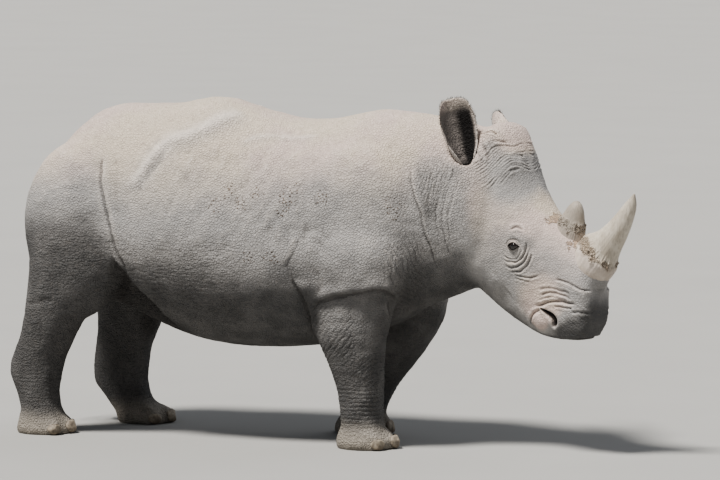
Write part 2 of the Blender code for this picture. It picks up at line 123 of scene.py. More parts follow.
def normals(mesh):
    """All corner normals of a mesh."""
    flat = np.empty(len(mesh.vertices) * 3, dtype=np.float32)
    mesh.vertex_normals.foreach_get("vector", flat)
    return flat.reshape(-1, 3).astype(float)


def edge_ends(mesh):
    """The two corners of every edge."""
    flat = np.empty(len(mesh.edges) * 2, dtype=np.int32)
    mesh.edges.foreach_get("vertices", flat)
    return flat.reshape(-1, 2)


print("corner helpers ready")

# %% [markdown]
# ## Smoothing, ramps and noise
# Smoothing draws each corner towards its neighbours. A ramp blends softly from 0 to 1, so that
# no change on the hide ends at a hard edge. The noise is worked out from the place alone, so
# the animal comes out the same in every run.

# %% Smoothing and noise


def smoothed(points, edges, rounds, share=1.0, push=0.0):
    """Corners drawn halfway to their neighbours' mean; a push back each round keeps volume."""
    first, second = edges[:, 0], edges[:, 1]
    count = np.bincount(edges.ravel(), minlength=len(points))[:, None]
    points = points.copy()
    share = np.broadcast_to(np.asarray(share, float).reshape(-1, 1), (len(points), 1))
    for step in [0.5, -push] * rounds:
        if step == 0.0:
            continue
        total = np.stack([np.bincount(first, points[second, axis], len(points)) +
                          np.bincount(second, points[first, axis], len(points))
                          for axis in range(3)], axis=1)
        points += step * share * (total / count - points)
    return points


def ramp(values, low, high):
    """0 below low, 1 above high, and an even curve between."""
    part = np.clip((values - low) / (high - low), 0, 1)
    return part * part * (3 - 2 * part)


def noise(points, scale, seed=0):
    """Smooth noise from -1 to 1 at every point; scale is the size of its lumps."""
    spots = points / np.asarray(scale, float) + 37.7 * seed
    base = np.floor(spots).astype(np.int64)
    part = spots - base
    part = part * part * (3 - 2 * part)
    total = np.zeros(len(points))
    for corner in np.ndindex(2, 2, 2):
        key = (base + corner) @ np.array([73856093, 19349663, 83492791])
        key = (key ^ (key >> 13)) * 1274126177 & 0xFFFFFFFF
        value = ((key ^ (key >> 16)) & 0xFFFF) / 32767.5 - 1
        total += value * np.prod(np.where(corner, part, 1 - part), axis=1)
    return total


def window(values, low, high, soft):
    """1 between two limits, fading out over soft beyond them."""
    return ramp(values, low - soft, low) * (1 - ramp(values, high, high + soft))


print("a ramp at 0, 1/4, 1/2 and 1:", ramp(np.array([0, 0.25, 0.5, 1]), 0, 1).round(3).tolist())

# %% [markdown]
# ## Making meshes
# Long round forms are skinned over rings of points that follow a smooth curve. Blender's
# modifiers do what is hard by hand: melting pieces together, doubling the corners and uniting
# two closed bodies.

# %% Rings, curves and modifiers


def from_modifier(mesh, kind, **settings):
    """The mesh after one modifier with its settings."""
    thing = bpy.data.objects.new("workpiece", mesh)
    bpy.context.scene.collection.objects.link(thing)
    step = thing.modifiers.new(kind.lower(), kind)
    for key, value in settings.items():
        setattr(step, key, value)
    graph = bpy.context.evaluated_depsgraph_get()
    graph.update()
    result = bpy.data.meshes.new_from_object(thing.evaluated_get(graph))
    bpy.data.objects.remove(thing)
    return result


def spline(rows, steps):
    """Rows of numbers read from a smooth curve through the given rows."""
    rows = np.asarray(rows, float)
    knots = np.linspace(0, len(rows) - 1, steps)
    at = np.clip(knots.astype(int), 0, len(rows) - 2)
    part = (knots - at)[:, None]
    padded = np.vstack([2 * rows[0] - rows[1], rows, 2 * rows[-1] - rows[-2]])
    a, b, c, d = (padded[at + k] for k in range(4))
    return 0.5 * (2 * b + (c - a) * part + (2 * a - 5 * b + 4 * c - d) * part ** 2 +
                  (3 * b - a - 3 * c + d) * part ** 3)


def grid_mesh(name, rings):
    """A closed mesh over rings of equal point counts, with a cap at each end."""
    rings = np.asarray(rings, float)
    rows, columns = rings.shape[:2]
    faces = [(r * columns + c, r * columns + (c + 1) % columns,
              (r + 1) * columns + (c + 1) % columns, (r + 1) * columns + c)
             for r in range(rows - 1) for c in range(columns)]
    faces.append(tuple(range(columns))[::-1])
    faces.append(tuple(range((rows - 1) * columns, rows * columns)))
    mesh = bpy.data.meshes.new(name)
    mesh.from_pydata(rings.reshape(-1, 3).tolist(), [], faces)
    bm = bmesh.new()
    bm.from_mesh(mesh)
    bmesh.ops.recalc_face_normals(bm, faces=bm.faces)
    bm.to_mesh(mesh)
    bm.free()
    return mesh


print("mesh helpers ready")

# %% [markdown]
# ## The hide's form
# The solid flesh is parted into pieces with thin cuts. Here the pieces are swollen a little so
# that the cuts close, and a voxel remesh melts them into one closed surface. Small balls fill
# the hollows at the roots of the ears, at the eyes and at the root of the tail.

# %% The melted form
FLESH = ["trunk", "neck", "head"]
FLESH += [f"{end}_{part}_{side}" for end in ("front", "hind")
          for part in ("leg", "foot") for side in SIDES]
SWELL = 0.0012
FORM_VOXEL = 0.014


def ball(centre, radii, count=24):
    """A plain closed ellipsoid."""
    turns = np.linspace(0.02, np.pi - 0.02, count)
    spins = np.linspace(0, 2 * np.pi, count, endpoint=False)
    rings = [[(math.sin(t) * math.cos(s), math.sin(t) * math.sin(s), math.cos(t))
              for s in spins] for t in turns]
    return grid_mesh("ball", np.array(rings) * radii + centre)


def joined(meshes):
    """One mesh that holds several."""
    bm = bmesh.new()
    for mesh in meshes:
        bm.from_mesh(mesh)
    whole = bpy.data.meshes.new("joined")
    bm.to_mesh(whole)
    bm.free()
    return whole


def swollen(node):
    """A copy of a node's mesh, pushed out along its normals."""
    mesh = frame["nodes"][node].data.copy()
    bm = bmesh.new()
    bm.from_mesh(mesh)
    bmesh.ops.remove_doubles(bm, verts=bm.verts, dist=1e-5)
    bm.normal_update()
    for vertex, way in [(v, v.normal.copy()) for v in bm.verts]:
        vertex.co += way * SWELL
    bm.to_mesh(mesh)
    bm.free()
    return mesh


fills = [ball(head_point(-0.020, sign * out, up), (0.030, 0.030, 0.050))
         for sign, out, up in ((-1, 0.150, 0.235), (1, 0.140, 0.270))]
fills += [ball(head_point(0.372, sign * 0.158, 0.072), (0.024,) * 3) for sign in SIDES.values()]
fills.append(ball(np.array([-1.345, 0.0, 1.225]), (0.050, 0.050, 0.050)))
flesh = joined([swollen(node) for node in FLESH] + fills)
form = from_modifier(flesh, "REMESH", mode="VOXEL", voxel_size=FORM_VOXEL)
print("melted form with", len(form.vertices), "corners")

# %% [markdown]
# ## Easing the facets
# Plain smoothing would thin the legs, so each round draws the corners in and then pushes them
# most of the way back. The barrel of the body is eased strongly, the legs less and the head
# hardly. The belly and the throat get many more rounds, since light grazes their facets.

# %% The eased form
EASY_ROUNDS, EASY_PUSH = 60, 0.47
EXTRA_ROUNDS, EXTRA_PUSH = 160, 0.485
spots = places(form)
head_share = ramp(on_head(spots)[:, 0], -0.20, 0.02) * ramp(spots[:, 0], 0.60, 0.75)
foot_share = 1 - ramp(spots[:, 2], 0.10, 0.22)
leg_share = 1 - ramp(spots[:, 2], 0.45, 0.70)
leg_share *= 1 - head_share
ease = (1 - 0.86 * head_share) * (1 - 0.80 * foot_share) * (1 - 0.45 * leg_share)
spots = smoothed(spots, edge_ends(form), EASY_ROUNDS, ease, EASY_PUSH)
belly = ramp(spots[:, 0], -0.86, -0.70) * (1 - ramp(spots[:, 0], -0.12, 0.02))
belly *= 1 - ramp(spots[:, 2], 0.95, 1.15)
throat = ramp(spots[:, 0], 0.34, 0.44) * (1 - ramp(spots[:, 0], 0.76, 0.86)) * (1 - head_share)
throat = throat * ramp(spots[:, 2], 0.62, 0.72) * (1 - ramp(spots[:, 2], 0.98, 1.12))
spots = smoothed(spots, edge_ends(form), EXTRA_ROUNDS, np.maximum(belly, throat), EXTRA_PUSH)
spots[:, 2] = np.maximum(spots[:, 2], 0.0)
set_places(form, spots)
form = from_modifier(form, "SUBSURF", levels=1, render_levels=1)
print("eased form with", len(form.vertices), "corners")

# %% [markdown]
# ## Finer where it matters
# The head, the wrinkled neck, the ringed lower legs and the near forearm get corners every 3
# to 4 mm, and the eyes and nostrils every 2 mm. The rest of the body keeps its 7 mm grid, and
# the grain finer than that is left to the surface's bump.

# %% Finer corners
EYE_RADIUS = 0.0275
EYE_AT = {side: head_point(0.380, sign * 0.1500, 0.064) for side, sign in SIDES.items()}


def refined(mesh, wanted):
    """The mesh with every face split that has all its corners wanted."""
    bm = bmesh.new()
    bm.from_mesh(mesh)
    bm.verts.ensure_lookup_table()
    spots = np.array([v.co for v in bm.verts])
    keep = wanted(spots)
    ends = [edge for edge in bm.edges if keep[edge.verts[0].index] and keep[edge.verts[1].index]]
    bmesh.ops.subdivide_edges(bm, edges=ends, cuts=1, use_grid_fill=True, smooth=0.0)
    bm.to_mesh(mesh)
    bm.free()
    return mesh


def head_zone(spots):
    """Whether corners belong to the head or the wrinkled side of the neck."""
    local = on_head(spots)
    on_neck = (spots[:, 0] > 0.42) & (spots[:, 2] > 0.74)
    return ((local[:, 0] > -0.06) & (spots[:, 0] > 0.62)) | on_neck


def fine_zone(spots):
    """Whether corners lie near an eye or a nostril."""
    local = folded(on_head(spots))
    near_eye = np.linalg.norm(local - [0.385, 0.165, 0.060], axis=1) < 0.085
    near_nose = np.linalg.norm(local - [0.670, 0.115, -0.150], axis=1) < 0.095
    return near_eye | near_nose


def leg_zone(spots):
    """Whether corners belong to the ringed part of a leg or the wrinkled near forearm."""
    ringed = (spots[:, 2] > 0.085) & (spots[:, 2] < 0.335)
    forearm = (spots[:, 2] > 0.33) & (spots[:, 2] < 0.68) & (spots[:, 0] > -0.02)
    forearm &= (spots[:, 0] < 0.40) & (spots[:, 1] < -0.20)
    return ringed | forearm


form = refined(refined(form, head_zone), fine_zone)
form = refined(form, leg_zone)
print("refined form with", len(form.vertices), "corners")

# %% [markdown]
# ## Ears and tail
# Each ear is a curled leaf: a tube at the root that opens into a cup. Its width and its curl
# change along its length, and that is easier to write down than to model by hand. The tail is a
# round tube that hangs down from the rump.

# %% The ears' and the tail's shape
EAR_LENGTH, EAR_HALF_THICKNESS = 0.310, 0.0055
EAR_WIDTHS = [0.030, 0.050, 0.070, 0.081, 0.082, 0.070]
EAR_CURLS = [2.70, 2.10, 1.60, 1.35, 1.20, 1.05]
EARS = {
    "right": ((-0.015, -0.162, 0.240), (-0.17, -0.10, 1.00), (0.55, -0.83, 0.00)),
    "left": ((-0.015, 0.150, 0.285), (-0.42, 0.78, 0.42), (0.80, 0.30, 0.25)),
}
TAIL = [(-1.318, 1.215, 0.050), (-1.393, 1.187, 0.044), (-1.449, 1.120, 0.036),
        (-1.468, 1.020, 0.029), (-1.472, 0.900, 0.023), (-1.471, 0.780, 0.018),
        (-1.470, 0.690, 0.015), (-1.470, 0.640, 0.011)]


def ear_frame(side):
    """Root, direction, opening and cross direction of one ear."""
    root, lie, opening = EARS[side]
    along = np.array(Vector(lie).normalized())
    opened = np.array(opening, float)
    opened -= along * opened.dot(along)
    opened /= np.linalg.norm(opened)
    return head_point(*root), along, opened, np.cross(along, opened)


def ear_section(part):
    """Half width and half curl of an ear at a part of its length."""
    knots = np.linspace(0, 1, len(EAR_WIDTHS))
    return np.interp(part, knots, EAR_WIDTHS), np.interp(part, knots, EAR_CURLS)


def ear_point(side, part, turn, lift):
    """A place on an ear: part of its length, turn of its curl, lift off its middle layer."""
    start, along, opened, across = ear_frame(side)
    width, curl = ear_section(part)
    radius = width / math.sin(min(curl, math.pi / 2))
    reach = EAR_LENGTH * part * (1 - 0.13 * part * turn ** 4)
    out = across * math.sin(curl * turn) - opened * math.cos(curl * turn)
    return start + opened * (radius - 0.5 * width) + along * reach + out * (radius + lift)


def ear_mesh(side, rows=46, columns=34):
    """One ear as a closed leaf of even thickness with a rounded rim."""
    rings = []
    for part in np.linspace(0, 1, rows):
        half = EAR_HALF_THICKNESS * (1 - 0.35 * part)
        turns = np.linspace(-1, 1, columns)
        edge = np.sqrt(np.clip(1 - np.abs(turns) ** 12, 0.05, 1))
        outer = [ear_point(side, part, turn, half * e) for turn, e in zip(turns, edge)]
        inner = [ear_point(side, part, turn, -half * e) for turn, e in zip(turns, edge)]
        rings.append(outer + inner[::-1])
    return grid_mesh("ear", rings)


def tube(name, rows, steps, points):
    """A closed round tube in the middle plane along rows of (x, z, radius)."""
    rows = spline(rows, steps)
    ways = np.gradient(rows[:, :2], axis=0)
    ways /= np.linalg.norm(ways, axis=1)[:, None]
    spins = np.linspace(0, 2 * np.pi, points, endpoint=False)
    rings = [[(x - dz * r * math.cos(s), r * math.sin(s), z + dx * r * math.cos(s))
              for s in spins] for (x, z, r), (dx, dz) in zip(rows, ways)]
    return grid_mesh(name, rings)


leaves = [ear_mesh(side) for side in SIDES]
tail = tube("tail", TAIL, 90, 24)
print("ears of", len(leaves[0].vertices), "corners, tail of", len(tail.vertices))

# %% [markdown]
# ## Joining them on
# Both ears and the tail are melted into the hide with a Boolean union, because a living skin
# has no seam there. A few rounds of smoothing near each root round off the sharp join.

# %% One skin
JOIN_ROUNDS = 6


def united(mesh, tool):
    """The Boolean union of two closed meshes."""
    other = bpy.data.objects.new("tool", tool)
    bpy.context.scene.collection.objects.link(other)
    result = from_modifier(mesh, "BOOLEAN", operation="UNION", object=other, solver="MANIFOLD")
    bpy.data.objects.remove(other)
    return result


for extra in leaves + [tail]:
    form = united(form, extra)
spots = places(form)
near_join = np.zeros(len(spots))
for side in SIDES:
    root = ear_frame(side)[0]
    near_join = np.maximum(near_join, 1 - ramp(np.linalg.norm(spots - root, axis=1), 0.05, 0.11))
tail_root = np.array([-1.40, 0.0, 1.18])
near_tail = 1 - ramp(np.linalg.norm(spots - tail_root, axis=1), 0.04, 0.09)
near_join = np.maximum(near_join, near_tail)
spots = smoothed(spots, edge_ends(form), JOIN_ROUNDS, near_join)
set_places(form, spots)
print("joined hide with", len(form.vertices), "corners")

# %% [markdown]
# ## Folds, creases and wrinkles
# A stroke follows a few points on the hide. A crease is a valley with two soft lips, a dip is
# a soft hollow, a ridge is a swelling, and a lap is a fold whose raised side (to the right of
# its direction) hangs over the other. The face has creases round the eye, cheek and mouth, and
# long lines that run up the temple and over the forehead. Points are h, l, u on its right side.

# %% The face's strokes
HEAD_STROKES = [  # kind, width, height, points
    ("crease", .0045, .0042,
     [(.354, -.171, .003), (.388, -.166, .002), (.417, -.159, .019), (.426, -.157, .051),
      (.421, -.158, .079)]),
    ("crease", .0050, .0050,
     [(.357, -.170, -.016), (.398, -.163, -.008), (.427, -.157, .010), (.440, -.153, .049),
      (.437, -.152, .088), (.425, -.154, .124)]),
    ("crease", .0050, .0048,
     [(.382, -.163, -.038), (.420, -.158, -.024), (.442, -.154, .000), (.455, -.150, .039),
      (.454, -.147, .083)]),
    ("crease", .0050, .0045,
     [(.413, -.157, -.046), (.449, -.152, -.028), (.471, -.148, .007), (.477, -.145, .049),
      (.470, -.142, .082)]),
    ("crease", .0055, .0040,
     [(.431, -.153, -.051), (.470, -.146, -.041), (.515, -.139, -.019), (.549, -.133, .012)]),
    ("crease", .0050, .0028, [(.441, -.150, -.064), (.480, -.143, -.053), (.518, -.138, -.039)]),
    ("crease", .0055, .0050,
     [(.334, -.171, .122), (.346, -.165, .139), (.360, -.159, .149), (.390, -.152, .152)]),
    ("lap", .0100, .0110,
     [(.620, -.121, .025), (.654, -.115, .043), (.689, -.109, .051), (.726, -.102, .052),
      (.762, -.088, .055), (.786, -.053, .061)]),
    ("crease", .0060, .0042,
     [(.560, -.130, -.058), (.601, -.125, -.025), (.646, -.120, -.003), (.695, -.114, .013),
      (.731, -.109, .009)]),
    ("crease", .0060, .0045,
     [(.577, -.127, -.082), (.614, -.124, -.041), (.659, -.119, -.016), (.708, -.113, -.002),
      (.747, -.108, -.002)]),
    ("crease", .0055, .0038,
     [(.579, -.125, -.102), (.627, -.123, -.056), (.682, -.118, -.026), (.730, -.111, -.010)]),
    ("crease", .0075, .0080,
     [(.579, -.120, -.134), (.617, -.122, -.096), (.654, -.120, -.062), (.698, -.116, -.035),
      (.736, -.112, -.020), (.768, -.105, -.010)]),
    ("crease", .0055, .0045, [(.668, -.119, -.079), (.713, -.115, -.054), (.761, -.110, -.035)]),
    ("crease", .0060, .0045, [(.755, -.114, -.054), (.803, -.097, -.031), (.830, -.046, -.017)]),
    ("crease", .0070, .0080,
     [(.617, -.119, -.124), (.594, -.113, -.160), (.579, -.100, -.199), (.578, -.082, -.231)]),
    ("crease", .0400, .0080, [(.439, -.134, -.143), (.414, -.121, -.186), (.377, -.092, -.233)]),
    ("crease", .0060, .0070,
     [(-.046, -.117, .393), (-.013, -.121, .422), (.020, -.118, .439), (.041, -.114, .439)]),
    ("crease", .0060, .0030, [(.038, -.138, .411), (.067, -.116, .418), (.092, -.089, .424)]),
    ("crease", .0070, .0050, [(-.014, -.142, .328), (.038, -.173, .325), (.077, -.174, .301)]),
    ("crease", .0070, .0045, [(-.002, -.147, .372), (.046, -.148, .354), (.085, -.154, .325)]),
]
FOREHEAD_LINES = [
    [(.031, -.217, .266), (.047, -.185, .305), (.055, -.152, .344), (.060, -.134, .387),
     (.083, -.113, .406), (.112, -.079, .417), (.120, -.03, .428), (.122, .0, .430)],
    [(.048, -.223, .245), (.067, -.186, .291), (.077, -.150, .336), (.082, -.126, .382),
     (.101, -.107, .399), (.128, -.077, .408), (.14, -.03, .418), (.142, .0, .420)],
    [(.067, -.222, .231), (.090, -.186, .273), (.098, -.148, .327), (.102, -.123, .375),
     (.120, -.102, .392), (.149, -.064, .396), (.160, -.02, .402), (.161, .0, .403)],
    [(.082, -.225, .209), (.109, -.184, .258), (.119, -.149, .314), (.126, -.121, .363),
     (.141, -.093, .385), (.167, -.048, .385), (.178, .0, .388)],
    [(.104, -.217, .201), (.128, -.175, .254), (.138, -.143, .315), (.149, -.114, .355),
     (.162, -.081, .374), (.187, -.032, .369), (.194, .0, .371)],
    [(.150, -.179, .220), (.157, -.155, .275), (.159, -.129, .326), (.170, -.100, .353),
     (.186, -.070, .358), (.207, -.030, .352), (.213, .0, .352)],
    [(.176, -.157, .255), (.180, -.137, .297), (.182, -.109, .333), (.198, -.075, .345)],
]
print("strokes on the face:", len(HEAD_STROKES), "and", len(FOREHEAD_LINES), "forehead lines")

# %% [markdown]
# ## The body's great folds
# The same strokes, wider, make the fold before the thigh, the roll over the hip, the hollow
# behind the shoulder, the fold over the forearm and the pleat between neck and shoulder. The
# left side has the same folds, moved ahead where its upper foreleg lies further forward.

# %% The body's strokes
BODY_STROKES = [  # kind, width, height, how far the left twin lies ahead, points on the right
    ("lap", .026, .023, 0,
     [(-.700, -.300, .560), (-.780, -.350, .640), (-.861, -.368, .734), (-.891, -.383, .813),
      (-.918, -.390, .877), (-.944, -.390, .963), (-.967, -.382, 1.053), (-.989, -.364, 1.142),
      (-1.006, -.333, 1.240), (-1.016, -.298, 1.320)]),
    ("dip", .040, .009, 0,
     [(-.982, -.301, 1.321), (-.951, -.342, 1.233), (-.934, -.370, 1.144), (-.917, -.388, 1.055),
      (-.894, -.398, .974)]),
    ("ridge", .038, .029, 0,
     [(-.839, -.387, 1.149), (-.830, -.379, 1.188), (-.799, -.368, 1.240), (-.761, -.344, 1.290),
      (-.723, -.321, 1.334), (-.673, -.307, 1.371), (-.605, -.300, 1.399), (-.537, -.273, 1.428),
      (-.479, -.221, 1.463), (-.423, -.161, 1.489), (-.402, -.127, 1.500)]),
    ("dip", .019, .013, 0,
     [(-.815, -.388, 1.140), (-.805, -.375, 1.186), (-.775, -.368, 1.223), (-.749, -.345, 1.266),
      (-.720, -.328, 1.310), (-.680, -.311, 1.355), (-.640, -.305, 1.375)]),
    ("dip", .024, .007, 0,
     [(.006, -.387, 1.061), (-.005, -.396, .994), (-.019, -.403, .922), (-.042, -.407, .867),
      (-.057, -.404, .821), (-.054, -.394, .766), (-.037, -.376, .715)]),
    ("crease", .010, .003, 0,
     [(-.027, -.401, .971), (-.044, -.408, .912), (-.071, -.410, .857), (-.096, -.409, .811)]),
    ("lap", .024, .022, .08,
     [(-.028, -.160, .463), (-.001, -.267, .523), (-.007, -.314, .596), (-.018, -.350, .659),
      (-.037, -.376, .715), (-.054, -.394, .766)]),
    ("lap", .026, .024, .08,
     [(.382, -.220, .662), (.389, -.297, .704), (.368, -.344, .729), (.329, -.369, .734),
      (.268, -.383, .728), (.202, -.386, .719), (.130, -.372, .705), (.071, -.355, .687),
      (.034, -.347, .665), (.016, -.336, .636)]),
    ("ridge", .023, .021, .08,
     [(.400, -.296, .716), (.372, -.346, .748), (.329, -.371, .756), (.268, -.385, .751),
      (.202, -.388, .742), (.130, -.376, .728), (.071, -.360, .710), (.030, -.350, .684)]),
    ("crease", .014, .007, .08,
     [(.370, -.308, .691), (.353, -.248, .621), (.340, -.240, .557), (.329, -.248, .498)]),
    ("lap", .016, .010, 0,
     [(.585, -.218, .808), (.567, -.247, .864), (.550, -.267, .928), (.530, -.280, 1.001),
      (.514, -.286, 1.073), (.495, -.287, 1.148), (.473, -.278, 1.223), (.455, -.254, 1.311)]),
    ("crease", .0050, .0020, 0,
     [(.626, -.188, 1.347), (.623, -.247, 1.270), (.597, -.268, 1.181), (.581, -.276, 1.110),
      (.581, -.275, 1.038), (.596, -.265, .956)]),
    ("crease", .0050, .0020, 0,
     [(.639, -.171, 1.328), (.651, -.247, 1.253), (.625, -.266, 1.164), (.608, -.272, 1.083),
      (.611, -.268, 1.002), (.629, -.251, .920), (.653, -.224, .856)]),
    ("crease", .0050, .0018, 0,
     [(.665, -.177, 1.293), (.676, -.251, 1.218), (.652, -.264, 1.138), (.635, -.268, 1.066),
      (.638, -.263, .994), (.652, -.249, .930)]),
    ("crease", .0050, .0018, 0,
     [(.554, -.254, 1.278), (.551, -.272, 1.198), (.545, -.280, 1.127), (.549, -.280, 1.064)]),
    ("ridge", .016, .006, 0,
     [(-.365, -.286, 1.368), (-.296, -.251, 1.388), (-.209, -.224, 1.395), (-.101, -.215, 1.393),
      (-.010, -.202, 1.401)]),
    ("crease", .014, .005, 0,
     [(-1.386, -.336, .606), (-1.308, -.374, .622), (-1.237, -.378, .625)]),
]
print("strokes on each side of the body:", len(BODY_STROKES))

# %% [markdown]
# ## How a stroke lifts the hide
# Each corner near a stroke's course moves along its own normal, by a profile of its distance
# from the course. Noise bends every stroke, so that none looks drawn with a ruler, and both
# ends fade out. Past a width of 24 mm the bends grow no larger, or wide folds would wriggle.

# %% Profiles and lift
PROFILES = {
    "crease": lambda s, w: (-np.exp(-(s / w) ** 2) +
                            0.45 * np.exp(-((np.abs(s) - 2.0 * w) / (1.2 * w)) ** 2)),
    "ridge": lambda s, w: np.exp(-(s / w) ** 2),
    "dip": lambda s, w: -np.exp(-(s / w) ** 2),
    "lap": lambda s, w: (ramp(s, -0.35 * w, 0.55 * w) * np.exp(-np.maximum(s, 0) / (3.8 * w)) -
                         0.5 * np.exp(-((s + 0.40 * w) / (0.5 * w)) ** 2)),
}
REACH = {"crease": 4.0, "ridge": 2.6, "dip": 2.6, "lap": 12.0}
BEND, WIDEST_BEND = 0.55, 0.024
WIDE, END_FADE, WIDE_FADE = 0.038, 0.18, 0.28


def stroke_lift(spots, facing, path, kind, width, height, flip):
    """Which corners a stroke moves, and by how much along their normals."""
    line = spline(path, 4 * len(path))
    reach = REACH[kind] * width
    box = np.all((spots > line.min(0) - reach) & (spots < line.max(0) + reach), axis=1)
    near = np.flatnonzero(box)
    bend = np.stack([noise(spots[near], 5 * width, seed) for seed in (1, 2, 3)], axis=1)
    bend += np.stack([noise(spots[near], 1.8 * width, seed) for seed in (4, 5, 6)], axis=1) * 0.4
    starts, runs = line[:-1], np.diff(line, axis=0)
    gaps = (spots[near] + BEND * min(width, WIDEST_BEND) * bend)[:, None, :] - starts
    part = np.clip((gaps * runs).sum(2) / (runs ** 2).sum(1), 0, 1)
    away = gaps - part[:, :, None] * runs
    size = (away ** 2).sum(2)
    best = size.argmin(1)
    rows = np.arange(len(near))
    distance = np.sqrt(size[rows, best])
    right = np.cross(runs[best], facing[near])
    side = np.sign((right * away[rows, best]).sum(1)) * flip
    along = (best + part[rows, best]) / len(runs)
    taper = ramp(along, 0, END_FADE)
    taper *= ramp(1 - along, 0, WIDE_FADE if width > WIDE else END_FADE)
    taper *= (distance < reach) * (1 + 0.35 * noise(spots[near], 6 * width, 7))
    return near, height * taper * PROFILES[kind](side * distance, width)


print("profiles:", sorted(PROFILES))

# %% [markdown]
# ## The cleft before each thigh
# A stroke only dents the skin, but between thigh and belly there is a deep hollow that the eye
# reads as the gap beside the leg. A triangle drawn in side view marks it, and the corners
# inside are drawn in towards the middle of the animal.

# %% Deep clefts
CLEFT_FLOOR = 0.14
CLEFTS = {  # corners x, z of the triangle, share drawn in, width of its slope
    "right": ([(-.945, .845), (-1.060, .560), (-.690, .520)], 0.80, 0.045),
    "left": ([(-.830, .820), (-.925, .540), (-.620, .500)], 0.62, 0.085)}
spots = places(form)
for side, (corners, depth, slope) in CLEFTS.items():
    corners = np.array(corners)
    inner = np.full(len(spots), 9.0)
    for one, two in zip(corners, np.roll(corners, -1, axis=0)):
        run = (two - one) / np.linalg.norm(two - one)
        gap = spots[:, [0, 2]] - one
        if abs(run[0]) < 0.99:
            inner = np.minimum(inner, gap @ [-run[1], run[0]])
    out = spots[:, 1] * SIDES[side]
    share = depth * ramp(inner + 0.008 * noise(spots, 0.05, 31), -0.004, slope)
    share *= ramp(spots[:, 2], 0.40, 0.56)
    spots[:, 1] -= SIDES[side] * share * np.maximum(out - CLEFT_FLOOR, 0)
set_places(form, spots)
facing = normals(form)
print("clefts drawn in:", sorted(CLEFTS))

# %% [markdown]
# ## Drawing the strokes
# The lifts of all strokes are added up before any corner moves, so that crossing folds join like
# skin. Between two forehead lines a third is put halfway. The crests of ridges are kept apart, to
# be painted paler: a painted highlight where they catch the light, together with rubbed dust.

# %% All strokes at once
LEFT_SHARE = 0.6  # all but the creases are softer on the left side
lift, ridge_highlight = np.zeros(len(spots)), np.zeros(len(spots))
forehead = [spline(path, 9) for path in FOREHEAD_LINES]
between = [0.5 * (one + two) for one, two in zip(forehead, forehead[1:])]
fine_lines = [("crease", .0044, .0038, path) for path in forehead + between]
for kind, width, height, path in HEAD_STROKES + fine_lines:
    for sign in (1, -1):
        path_here = off_head(np.array(path) * [1, sign, 1])
        near, rise = stroke_lift(spots, facing, path_here, kind, width, height, sign)
        lift[near] += rise
for kind, width, height, ahead, path in BODY_STROKES:
    for sign in (1, -1):
        path_here = np.array(path) * [1, sign, 1]
        path_here[:, 0] += ahead * (sign < 0)
        near, rise = stroke_lift(spots, facing, path_here, kind, width, height, sign)
        rise *= 1.0 if sign < 0 or kind == "crease" else LEFT_SHARE
        lift[near] += rise
        if kind == "ridge":
            # Painted highlight on the ridge's crest, stronger high on the back.
            pale = np.sqrt(np.maximum(rise, 0) / 0.025)
            pale *= 0.3 + 0.7 * ramp(spots[near, 2], 1.0, 1.12)
            ridge_highlight[near] = np.maximum(ridge_highlight[near], pale)
print("strokes lift the hide by up to", round(float(np.abs(lift).max()), 4), "m")

# %% [markdown]
# ## Fields of finer wrinkles
# Where the skin folds all the time it keeps rows of pleats: down the neck, round the legs above
# the feet, behind the elbow, along the lower flank and across the front of the muzzle. Each
# field has a share that says where it lies, a measure across its pleats, their spacing and
# their depth. Noise bends them and fades them in and out.

# %% Pleats


def pleats(across, spacing, sharp=0.45):
    """Rounded ridges with narrow valleys between them, from -1 in a valley to 0 on a ridge."""
    return np.abs(np.sin(np.pi * across / spacing)) ** sharp - 1


local = on_head(spots)
side_out = np.abs(spots[:, 1])
waver = noise(spots, (0.09, 0.09, 0.12), 11) + 0.5 * noise(spots, 0.035, 12)
fading = 0.55 + 0.45 * noise(spots, (0.07, 0.07, 0.10), 13)
x, z = spots[:, 0], spots[:, 2]
past_fold = x - 0.480 + 0.26 * (z - 1.21)
neck_share = ramp(past_fold, -0.010, 0.035) * (1 - ramp(x, 0.68, 0.76))
neck_share *= window(z, 0.80, 1.26, 0.10)
neck_share *= 1 - ramp(local[:, 0], -0.02, 0.05)
neck_share *= ramp(side_out, 0.10, 0.18)
throat_share = window(x, 0.40, 0.80, 0.08) * window(z, 0.62, 0.92, 0.05)
throat_share *= 1 - ramp(local[:, 0], 0.04, 0.14)
ring_share = window(z, 0.125, 0.26, 0.06) * (1 - 0.5 * (x < -0.5))
elbow_share = window(z, 0.40, 0.64, 0.05) * window(x, 0.00, 0.20, 0.05) * (side_out > 0.20)
flank_share = window(z, 0.52, 0.88, 0.10) * window(x, -0.92, -0.40, 0.16)
thigh_share = window(z, 0.45, 0.90, 0.10) * (1 - ramp(x, -1.02, -0.92))
thigh_share *= ramp(side_out, 0.10, 0.18)
forearm_share = window(z, 0.30, 0.60, 0.06) * window(x, 0.0, 0.42, 0.05) * ramp(side_out, 0.1, 0.2)
muzzle_share = ramp(local[:, 0], 0.70, 0.78) * window(local[:, 2], -0.16, -0.02, 0.03)
fields = [
    (neck_share, x + 0.095 * (z - 1.05) - 0.42 * np.hypot(z - 1.05, 0.06) + 0.010 * waver,
     0.0160, 0.0056),
    (throat_share, 0.9 * x + 0.45 * z + 0.018 * waver, 0.024, 0.0042),
    (ring_share, z + 0.007 * waver, 0.0195, 0.0046),
    (elbow_share, 0.80 * x - 0.60 * z + 0.012 * waver, 0.024, 0.0046),
    (flank_share, z + 0.10 * x + 0.014 * waver, 0.019, 0.0028),
    (thigh_share, z + 0.014 * waver, 0.021, 0.0014),
    (forearm_share, 0.75 * x - z + 0.010 * waver, 0.020, 0.0020),
    (muzzle_share, local[:, 2] + 0.25 * local[:, 0] + 0.006 * waver, 0.0150, 0.0036),
]
for share, across, spacing, depth in fields:
    lift += depth * share * fading * pleats(across, spacing)
print("fields of pleats:", len(fields))

